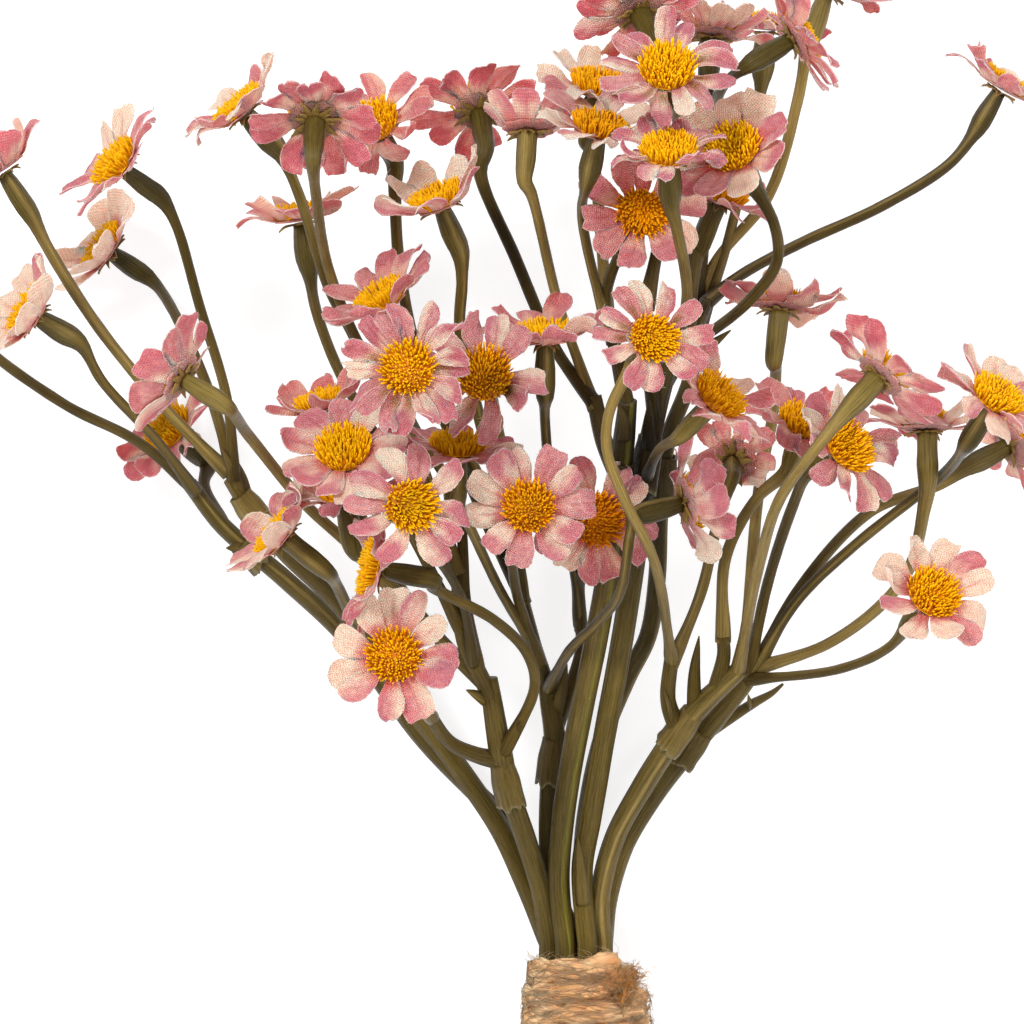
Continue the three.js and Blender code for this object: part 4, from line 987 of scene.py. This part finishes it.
def make_head(head, *nodes):
    tones = head_tones(head)
    cloth, disc = Shape(), Shape()
    add_hub(cloth, head, tones)
    for index in range(head.petals):
        Petal(head, index, tones).add_to(cloth)
    cloth.piece(f"petals_{head.id}", CLOTH, "petals", *nodes)
    add_disc(disc, head)
    disc.piece(f"disc_{head.id}", BRISTLE, "discs")


# ---------------------------------------------------------------- moulded stems

# Reach of a cup at depths under its flower: the bud-shaped cups and the trumpet-shaped ones.
BUD_PROFILE = ((0.3, 1.55), (1.2, 1.65), (3.0, 1.9), (5.5, 2.15), (8.0, 2.2), (10.0, 1.9),
               (12.0, 1.45), (14.0, 1.2), (16.5, 1.08))
TRUMPET_PROFILE = ((0.3, 2.3), (1.2, 2.2), (3.0, 2.15), (6.0, 2.2), (8.5, 2.05), (11.0, 1.65),
                   (13.5, 1.35), (16.0, 1.2), (20.0, 1.1))
LIGHT_BRANCHES = {"e", "t", "k2", "w", "ad", "td", "s", "l", "aa"}
TRUMPET_HEADS = {"t", "k", "j", "s", "w", "ad", "k2", "k19", "k24", "tb", "l", "h", "ta", "x", "aa"}

SEPALS = 9
SEPAL_ROWS = 6
SEPAL_ROOT = 1.6
SEPAL_SHEET = 0.3
SLEEVE_ROWS = 14
SLEEVE_SIDES = 24
SLEEVE_RADIUS = 3.0
SLEEVE_WALL = 0.55
STUB_SIDES = 10

# Middle of the painted shadow where the stems crowd together and the plastic is painted darkest.
CROWD_SHADOW_MIDDLE = seen(648, 450, 34)
# The stem with a green line along it.
LINED_STEM = "centre_left"


def stem_colour(tone, place, facing_up, low_light):
    patch = noise.noise(place * 0.035)
    fine = noise.noise(place * 0.25)
    base = mixed(STEM_OLIVE, STEM_DARK, tone[0] - 0.35 * patch)
    base = mixed(base, STEM_LIGHT, max(0.0, tone[1] + 0.3 * patch + 0.1 * fine))
    base = mixed(base, STEM_GREEN, low_light)
    # Painted shade: the lower a stem lies, under the others, the darker it is painted.
    base = mixed(base, STEM_DARK, 0.4 * (1 - smooth(8, 40, place.z)))
    # Painted shade: sides and undersides that face down are painted darker.
    base = mixed(base, STEM_DARK, 0.55 * (1 - smooth(-0.1, 0.75, facing_up)))
    # Painted shadow: near black where the stems crowd together, fading out above 55 mm.
    crowd_shadow = hump(place.x - CROWD_SHADOW_MIDDLE.x, 12) * hump(place.y - CROWD_SHADOW_MIDDLE.y, 34)
    return mixed(base, STEM_SHADOW, 0.92 * crowd_shadow * (1 - smooth(55, 75, place.z)))


def tube_colour(tone, line, low_light):
    """The stem colour as a function of a line's station and angle."""
    return lambda i, angle: stem_colour(tone, line.at[i], line.out(i, angle).z, low_light)


def branch_stops(head):
    """Points of a branch from the cup under a flower down to its stem."""
    cup_end = head.back - head.facing * CUP_LENGTH
    level = head.joins[2]
    joint = seen(*head.joins)
    flat = [cup_end] + [seen(*point[:2], level) for point in head.via] + [joint]
    lengths = [0.0]
    for a, b in zip(flat, flat[1:]):
        lengths.append(lengths[-1] + math.hypot(b.x - a.x, b.y - a.y))
    stops = [head.back - head.facing * SEAT_GAP,
             head.back - head.facing * CUP_LENGTH * 0.55, cup_end]
    for point, length in zip(head.via, lengths[1:]):
        even = cup_end.z + (level - cup_end.z) * length / lengths[-1]
        stops.append(seen(*(point if len(point) > 2 else (*point, even))))
    return stops + [joint]


def add_branch(shape, head, chance):
    draw = chance.uniform
    line = Line([point for point, _ in spline(branch_stops(head), BRANCH_STEP)],
                -head.facing)
    total = line.run[-1]
    tone = (draw(0.1, 0.75), draw(-0.15, 0.35))
    light = head.id in LIGHT_BRANCHES
    if light:
        tone = (0.0, 0.55)
    profile = TRUMPET_PROFILE if head.id in TRUMPET_HEADS else BUD_PROFILE
    ridges = chance.choice((4, 5, 6))
    turn, swirl, stretch = draw(0, 6.3), draw(-0.03, 0.03), draw(0.88, 1.12)
    swell, thin, seam = draw(0.92, 1.12), draw(0.9, 1.12), draw(0, 6.3)

    def radius(i, angle):
        run = line.run[i]
        reach = between(profile, (run + SEAT_GAP) / stretch)
        reach *= swell + (thin - swell) * smooth(8, 15, run)
        reach += 0.45 * smooth(total - 12, total, run)
        relief = 0.05 * math.cos(ridges * (angle + swirl * run) + turn)
        relief *= 1 - 0.5 * smooth(12, 20, run)
        knots = 0.05 * rough(run * 0.22, seam, ridges)
        return reach * (1 + relief + knots) + 0.08 * ridge(angle, seam, 0.18)

    def colour(i, angle):
        run = line.run[i]
        green = 0.55 * (1 - smooth(6, 16, run))
        shade = stem_colour(tone, line.at[i], line.out(i, angle).z, green)
        if not light:
            shade = mixed(shade, STEM_DARK, 0.38 * (1 - smooth(9, 18, run)))
        # Painted highlight: lighter along the raised mould seam.
        return mixed(shade, STEM_LIGHT, 0.55 * ridge(angle, seam, 0.25))

    shape.tube(line, radius, BRANCH_SIDES, colour, seam * 3)
    add_sepals(shape, head, chance)


def add_sepals(shape, head, chance):
    """Thin torn sepals spread under the petals' roots."""
    draw = chance.uniform
    start = draw(0, 6.3)
    count = SEPALS + round(8 * head.brown)
    for turn in around(count):
        angle = start + turn + draw(-0.3, 0.3)
        tip_radius = draw(2.8, 5.2) + 1.2 * head.brown
        droop, breadth = draw(-1.3, 0.2), draw(0.5, 1.1)
        colour = mixed(STEM_OLIVE, SEPAL_BROWN, draw(0.2, 1.0))
        colour = mixed(colour, HUB_BROWN, 0.7 * head.brown)
        top, bottom = [], []
        for row in range(SEPAL_ROWS):
            along = row / (SEPAL_ROWS - 1)
            radius = SEPAL_ROOT + (tip_radius - SEPAL_ROOT) * along
            half = breadth * (1 - along ** 1.4) * (1 + draw(-0.15, 0.15)) + 0.06
            height = -0.32 + 0.25 * along + droop * along ** 2.5
            shade = mixed(colour, STEM_LIGHT, 0.5 * along)
            top.append([])
            bottom.append([])
            for column in (-1, 0, 1):
                level, side = height + 0.12 * abs(column), column * half
                grain = (radius, side * 2, angle)
                for rows, drop in ((top, 0), (bottom, SEPAL_SHEET)):
                    at = head.place(radius, angle, level - drop, side)
                    rows[-1].append(shape.corner(at, shade, grain))
        shape.sheet(top, bottom)


def add_main_stem(shape, name, stem, chance):
    """A stem from its cut end through the tie and up its way."""
    off = Vector((0, 0, 0))
    if stem["slot"] != "middle":
        angle = math.radians(stem["slot"])
        off = Vector((math.cos(angle), 0, math.sin(angle))) * STEM_RING_RADIUS
    tie_top, tie_bottom, cut = (
        Vector((RING_MIDDLE.x + off.x, seen(0, row, TIE_RADIUS).y, RING_MIDDLE.z + off.z))
        for row in (TIE_TOP_ROW - 6, TIE_BOTTOM_ROW + 6, stem["end"]))
    # The stems spread a little below the tie.
    cut += Vector((off.x * 0.9, 0, off.z * 0.45))
    lower = spline([cut, tie_bottom.lerp(cut, 0.04), tie_bottom, tie_top], STEM_STEP)
    upper = spline([tie_top] + [seen(*point[:3]) for point in stem["way"]], STEM_STEP)[1:]
    radii = [STEM_RADIUS] + [point[3] for point in stem["way"]]
    sizes = [STEM_RADIUS] * len(lower) + [read_at(radii, place) for _, place in upper]
    line = Line([at for at, _ in lower + upper])
    tone = (chance.uniform(0.0, 0.45), chance.uniform(0.0, 0.35))
    turn = chance.uniform(0, 6.3)
    plain = tube_colour(tone, line, 0.25)

    def radius(i, angle):
        grooves = 0.03 * math.cos(9 * angle + turn) + 0.016 * math.cos(17 * angle + 2 * turn)
        channel = -0.09 * ridge(angle, turn, 0.16)
        swell = 0.03 * rough(line.run[i] * 0.08, turn, 0)
        return sizes[i] * (1 + grooves + channel + swell)

    def colour(i, angle):
        if i == 0:
            return CUT_END
        # Painted highlight: a light line along the stem.
        shade = mixed(plain(i, angle), STEM_LIGHT, 0.6 * ridge(angle, turn + 1.9, 0.13))
        if name == LINED_STEM:
            shade = mixed(shade, LINE_GREEN, 0.75 * ridge(angle, 2.1, 0.12))
        return shade

    shape.tube(line, radius, STEM_SIDES, colour, turn * 5)


def add_limb(shape, limb, chance):
    run = spline([seen(*point[:3]) for point in limb], BRANCH_STEP)
    radii = [point[3] for point in limb]
    line = Line([at for at, _ in run])
    tone = (chance.uniform(0.2, 0.6), chance.uniform(-0.1, 0.25))
    turn = chance.uniform(0, 6.3)

    def radius(i, angle):
        return read_at(radii, run[i][1]) * (0.94 + 0.05 * math.cos(5 * angle + turn))

    shape.tube(line, radius, BRANCH_SIDES, tube_colour(tone, line, 0.1), turn * 4)


def add_sleeve(shape, stem, chance):
    """The clipped-on socket with its torn lower rim."""
    low, high = (seen(*point) for point in stem["sleeve"])
    line = Line([low.lerp(high, i / (SLEEVE_ROWS - 1)) for i in range(SLEEVE_ROWS)])
    tear = [chance.uniform(-0.9, 0.9) for _ in range(SLEEVE_SIDES)]
    rim = [chance.uniform(-0.15, 0.3) for _ in range(SLEEVE_SIDES)]
    tone = (chance.uniform(0.0, 0.3), chance.uniform(0.15, 0.4))
    outer, inner = [], []
    for i in range(SLEEVE_ROWS):
        along = i / (SLEEVE_ROWS - 1)
        fade = 1 - smooth(0, 0.3, along)
        outer.append([])
        inner.append([])
        for k, angle in enumerate(around(SLEEVE_SIDES)):
            size = SLEEVE_RADIUS - 0.55 * smooth(0.5, 1, along) + 0.12 * math.cos(5 * angle)
            out = line.out(i, angle)
            at = line.at[i] + line.axis[i] * tear[k] * fade + out * (size + rim[k] * fade)
            shade = stem_colour(tone, at, out.z, 0.1)
            shade = mixed(shade, CUT_END, 0.75 * (1 - smooth(0.0, 0.1, along)))
            grain = (math.cos(angle) * 3, math.sin(angle) * 3, line.run[i])
            outer[-1].append(shape.corner(at, shade, grain))
            # Painted shade: the inner wall of the sleeve is painted darker.
            shade = mixed(shade, STEM_DARK, 0.5)
            inner[-1].append(shape.corner(at - out * SLEEVE_WALL, shade, grain))
    shape.skin([inner[0], *outer, *reversed(inner)])


def add_stub(shape, stub, chance):
    """A pointed stub leaf, flat and a little bent."""
    root, tip = (seen(*point) for point in stub)
    bend = Vector((chance.uniform(-1, 1), chance.uniform(-1, 1), chance.uniform(-0.3, 0.9)))
    line = Line([at for at, _ in spline([root, root.lerp(tip, 0.5) + bend * 0.6, tip], 0.8)])
    tone = (chance.uniform(0.0, 0.4), chance.uniform(0.1, 0.5))

    def radius(i, angle):
        wide = 1.35 * (1 - (line.run[i] / line.run[-1]) ** 2.2) + 0.12
        return wide / math.hypot(math.cos(angle), math.sin(angle) * 2.6)

    shape.tube(line, radius, STUB_SIDES, tube_colour(tone, line, 0.1), root.x)


def make_stem(name, stem, heads):
    chance = random.Random(f"stem_{name}")
    shape = Shape()
    add_main_stem(shape, name, stem, chance)
    add_sleeve(shape, stem, chance)
    for limb in stem["limbs"]:
        add_limb(shape, limb, chance)
    for stub in stem["stubs"]:
        add_stub(shape, stub, chance)
    for head in heads:
        if head.stem == name:
            add_branch(shape, head, chance)
    shape.piece(f"spray_{name}", PLASTIC, "stems", f"stem_{name}")


# ---------------------------------------------------------------- jute tie

TIE_SEED = 11
PLIES = 3
PLY_SIDES = 22
PLY_RADIUS = 0.66
# Run of the strand in which its plies turn once round each other, and of one turn of the tie.
PLY_TURN = 22.0
TURN_LENGTH = TAU * 10.6
STEPS_A_TURN = 130
# Half the strand's breadth, and the way that its middle goes down the tie.
STRAND_HALF = 2.72
STRAND_TRAVEL = TIE_TOP - TIE_BOTTOM - 2 * STRAND_HALF
STRAND_BREADTH = STRAND_HALF * STRAND_TRAVEL / (TIE_TURNS - 1) / 5.1
HAIRS = 2600
RIM_HAIRS = 90
FRAYED_FIBRES = 850
FRAYED_SIDES = 16
RIM_HAIR_RADIUS = 0.05
# The frayed end: where it leaves the wraps, its bend and its tip; rust-coloured round the tuft.
TUFT = seen(628, 985, 25)
FRAYED_WAY = (seen(616, 1012, 22), seen(628, 988, 25.5), seen(633, 972, 26.5))


def near_tuft(at):
    return hump((at - TUFT).length, 5)


def tie_point(turns, radial, axial):
    """A point of the wound strand: turns made, and its place in the strand's section, -1 to 1."""
    angle = TAU * turns + 0.6
    c, s = math.cos(angle), math.sin(angle)
    shift = (TIE_COLUMN - STEM_RING_COLUMN) * MM_PER_STEP
    outer = shift * c + math.sqrt(TIE_RADIUS ** 2 - (shift * s) ** 2)
    # The first wrap is narrower at the upper right, and the next ones bulge over it.
    outer -= (1 - smooth(0.7, 1.6, turns)) * (1.1 + 2.0 * max(c, 0.0))
    outer += 0.8 * smooth(1.4, 2.4, turns) * max(math.cos(angle - 0.4), 0.0) ** 2
    level = TIE_TOP - STRAND_HALF - STRAND_TRAVEL * clamp(turns / TIE_TURNS)
    level += 0.55 * math.cos(angle + 0.5) + 0.35 * math.sin(3 * angle + turns)
    reach = (TIE_HOLE_RADIUS + outer) / 2 + radial * (outer - TIE_HOLE_RADIUS) / 2
    at = Vector((RING_MIDDLE.x + reach * c, level + axial * STRAND_BREADTH, TIE_RADIUS + reach * s))
    return at, angle


def make_wraps():
    shape = Shape()
    for ply in range(PLIES):
        rings = []
        for i in range(TIE_TURNS * STEPS_A_TURN + 1):
            turns = i / STEPS_A_TURN
            run = turns * TURN_LENGTH
            ply_angle = TAU * (run / PLY_TURN + ply / PLIES)
            centre_r, centre_a = 0.31 * math.cos(ply_angle), 0.4 * math.sin(ply_angle)
            ends = min(smooth(0, 0.03, turns), smooth(0, 0.03, TIE_TURNS - turns)) * 0.5 + 0.5
            rings.append([])
            for a in around(PLY_SIDES):
                c, d = math.cos(a), math.sin(a)
                size = 1 + 0.26 * rough(run * 0.2, 1.7 * c, 1.7 * d + ply * 9)
                size += 0.22 * rough(run * 0.8, 4 * c, 4 * d + ply * 5)
                size += 0.12 * rough(run * 0.35, 11 * c, 11 * d + ply * 3)
                size *= PLY_RADIUS * ends
                radial, axial = centre_r + size * c, centre_a + size * d
                at, _ = tie_point(turns, radial, axial)
                at.z = max(at.z, SURFACE_CLEARANCE)
                patch = noise.noise(at * 0.22)
                shade = mixed(JUTE, JUTE_PALE, 0.35 + 0.9 * patch)
                shade = mixed(shade, JUTE_BROWN, 0.25 - 0.8 * patch)
                shade = mixed(shade, JUTE_RUST, 0.75 * near_tuft(at))
                # Painted shade: corners deep in the strand, between the plies, darken towards
                # JUTE_SHADE.
                shade = mixed(JUTE_SHADE, shade, smooth(0.0, 0.5, radial ** 2 + axial ** 2))
                rings[-1].append(shape.corner(at, shade, (c * 2 + ply * 7, d * 2, run)))
        shape.solid(rings[::-1])
    shape.piece("jute_wraps", JUTE_FIBRE, "twine", "jute_tie")


def add_fibre(shape, points, thick, colour):
    line = Line([at for at, _ in spline(points, 0.9)])
    taper = 0.6 / len(line.at)
    radius = lambda i, a: thick * (1 - taper * i)
    shape.tube(line, radius, THREAD_SIDES, lambda i, a: colour, points[0].x)


def make_hairs(chance):
    """Loose hairs that lie on the wraps and stand off them."""
    draw = chance.uniform
    shape = Shape()
    for _ in range(HAIRS):
        turns, axial = draw(0.02, TIE_TURNS - 0.02), draw(-0.95, 0.95)
        skew, span = draw(-0.8, 0.8), draw(0.02, 0.13)
        loose = chance.choice((0, 0, 0.1, 0.25, 0.45))
        points = []
        for share in (0, 1 / 3, 2 / 3, 1):
            radial = 1.03 - 0.35 * clamp(abs(axial + skew * share)) ** 2.5 + loose * share ** 2
            sway = 0.15 * math.sin(share * 6 + axial * 9)
            at, _ = tie_point(turns + span * share, radial, axial + skew * share + sway)
            at.z = max(at.z, 0.15)
            points.append(at)
        colour = mixed(JUTE_SHADE, JUTE_PALE, chance.choice((0.2, 0.6, 0.9, 1.0, 1.0)))
        colour = mixed(colour, JUTE_RUST, 0.8 * near_tuft(points[0]))
        add_fibre(shape, points, draw(0.055, 0.11), colour)
    for _ in range(RIM_HAIRS):
        start, angle = tie_point(draw(0, 1), draw(-0.8, 0.7), 0.6)
        inward = Vector((math.cos(angle), 0, math.sin(angle)))
        reach = draw(0.8, 3.0)
        first = start + Vector((draw(-1.5, 1.5), reach * 0.6, 0)) - inward * 0.4
        second = start + Vector((draw(-3, 3), reach, draw(-1, 1))) - inward * draw(0, 1.5)
        for point in (start, first, second):
            point.z = max(point.z, 0.2)
        second.y = min(second.y, TIE_TOP + 4.5)
        colour = mixed(JUTE, JUTE_PALE, chance.random())
        add_fibre(shape, [start, first, second], RIM_HAIR_RADIUS, colour)
    shape.piece("jute_hairs", JUTE_FIBRE, "twine")


def make_frayed_end(chance):
    """The free end of the twine, tucked out at the upper right and frayed."""
    draw = chance.uniform
    shape = Shape()
    root, bend, tip = FRAYED_WAY
    for ply in range(PLIES):
        path = []
        for at, share in spline([root, bend, tip], 0.5):
            twist = TAU * ply / PLIES + share * 2.4
            off = Vector((math.cos(twist), 0.3 * math.sin(twist), math.sin(twist) - 0.8))
            path.append(at + off * 0.6)
        line = Line(path)
        total = line.run[-1]

        def grit(i, a):
            return rough(line.run[i] * 0.9, 3 * math.cos(a) + ply * 8, 3 * math.sin(a))

        def radius(i, a):
            return (0.7 - 0.4 * line.run[i] / total) * (1 + 0.8 * grit(i, a))

        def colour(i, a):
            return mixed(JUTE_BROWN, JUTE_RUST, 0.3 + 0.6 * line.run[i] / total + grit(i, a))

        shape.tube(line, radius, FRAYED_SIDES, colour, ply * 4)
    for _ in range(FRAYED_FIBRES):
        along = draw(0.0, 1.0)
        start = root.lerp(bend, 0.2).lerp(tip, along)
        off = chance.gauss(0, 1.4 - 0.3 * along), chance.gauss(0, 0.9), draw(-0.8, 1.0)
        start += Vector(off)
        fan = Vector((chance.gauss(0.1, 0.7), chance.gauss(0.35, 0.5), draw(-0.2, 0.5)))
        fan *= draw(0.5, 2.0)
        end = start + fan + Vector((draw(-0.6, 0.6), draw(-0.6, 0.6), 0))
        if chance.random() < 0.3 + 0.6 * along:
            colour = mixed(JUTE_RUST, JUTE_BROWN, draw(-0.2, 0.6))
        else:
            colour = mixed(JUTE, JUTE_PALE, along)
        add_fibre(shape, [start, start + fan * 0.5, end], draw(0.06, 0.12), colour)
    shape.piece("jute_frayed_end", JUTE_FIBRE, "twine")


# ---------------------------------------------------------------- floor, light, camera

FLOOR_HALF = 3.0
FLOOR_GREY = 0.4
FLOOR_GLOW = 0.74
# Strength of the sky from straight below to straight above.
SKY = (0.32, 0.8)
SENSOR_WIDTH = 36
CLIP_END = 20
# Name, place, size in metres and watts.
LAMPS = (("key", (-0.75, 0.75, 1.5), 0.4, 24), ("edge", (1.0, 0.45, 0.9), 0.3, 7),
         ("fill", (0.2, -1.2, 1.3), 0.7, 9))


def placed(name, data):
    made = bpy.data.objects.new(name, data)
    bpy.context.scene.collection.objects.link(made)
    return made


def make_stage():
    surface = Surface("pale_surface", {
        "Roughness": 0.9, "Base Color": (FLOOR_GREY, FLOOR_GREY, FLOOR_GREY, 1),
        "Emission Color": (1, 1, 1, 1), "Emission Strength": FLOOR_GLOW})
    mesh = bpy.data.meshes.new("floor")
    corners = [(x * FLOOR_HALF, y * FLOOR_HALF, 0) for x, y in ((-1, -1), (1, -1), (1, 1), (-1, 1))]
    mesh.from_pydata(corners, [], [(0, 1, 2, 3)])
    mesh.materials.append(surface.material)
    placed("floor", mesh)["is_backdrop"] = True


def make_lights():
    for name, place, size, power in LAMPS:
        light = bpy.data.lights.new(name, "AREA")
        light.shape = "DISK"
        light.size = size
        light.energy = power
        lamp = placed(name, light)
        lamp.location = place
        lamp.rotation_euler = (-Vector(place)).to_track_quat("-Z", "Y").to_euler()
    world = bpy.data.worlds.new("studio")
    world.use_nodes = True
    tree = world.node_tree
    background = tree.nodes["Background"].inputs
    background["Color"].default_value = (1, 1, 1, 1)
    split = node(tree, "SeparateXYZ", {0: node(tree, "TexCoord")}).node.outputs
    overhead = node(tree, "MapRange", {"Value": split["Z"], "To Min": SKY[0], "To Max": SKY[1]})
    tree.links.new(overhead, background["Strength"])
    bpy.context.scene.world = world
    bpy.context.scene.view_settings.view_transform = "Standard"


def make_camera():
    view = bpy.data.cameras.new("camera")
    view.sensor_width = SENSOR_WIDTH
    view.lens = SENSOR_WIDTH * EYE_DISTANCE / (2 * VIEW_MIDDLE * MM_PER_STEP)
    view.clip_end = CLIP_END
    camera = placed("camera", view)
    camera.location = seen(VIEW_MIDDLE, VIEW_MIDDLE, EYE_DISTANCE + TRUE_SCALE_HEIGHT) * MM
    bpy.context.scene.camera = camera


# ---------------------------------------------------------------- the bunch

def main():
    make_camera()
    make_lights()
    make_stage()
    heads = [Head(flower, index) for index, flower in enumerate(FLOWERS)]
    shared = {one: f"daisies_{one}_{other}" for one, other in PRESSED_TOGETHER}
    partners = {other for _, other in PRESSED_TOGETHER}
    for head in heads:
        nodes = () if head.id in partners else (shared.get(head.id, f"daisy_{head.id}"),)
        make_head(head, *nodes)
    for name, stem in STEMS.items():
        make_stem(name, stem, heads)
    make_wraps()
    chance = random.Random(TIE_SEED)
    make_hairs(chance)
    make_frayed_end(chance)
    boxes = {"cad": CAD_BOX, "visual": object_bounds()}
    ({name: [[float(v) for v in corner] for corner in box]
               for name, box in boxes.items()})


main()
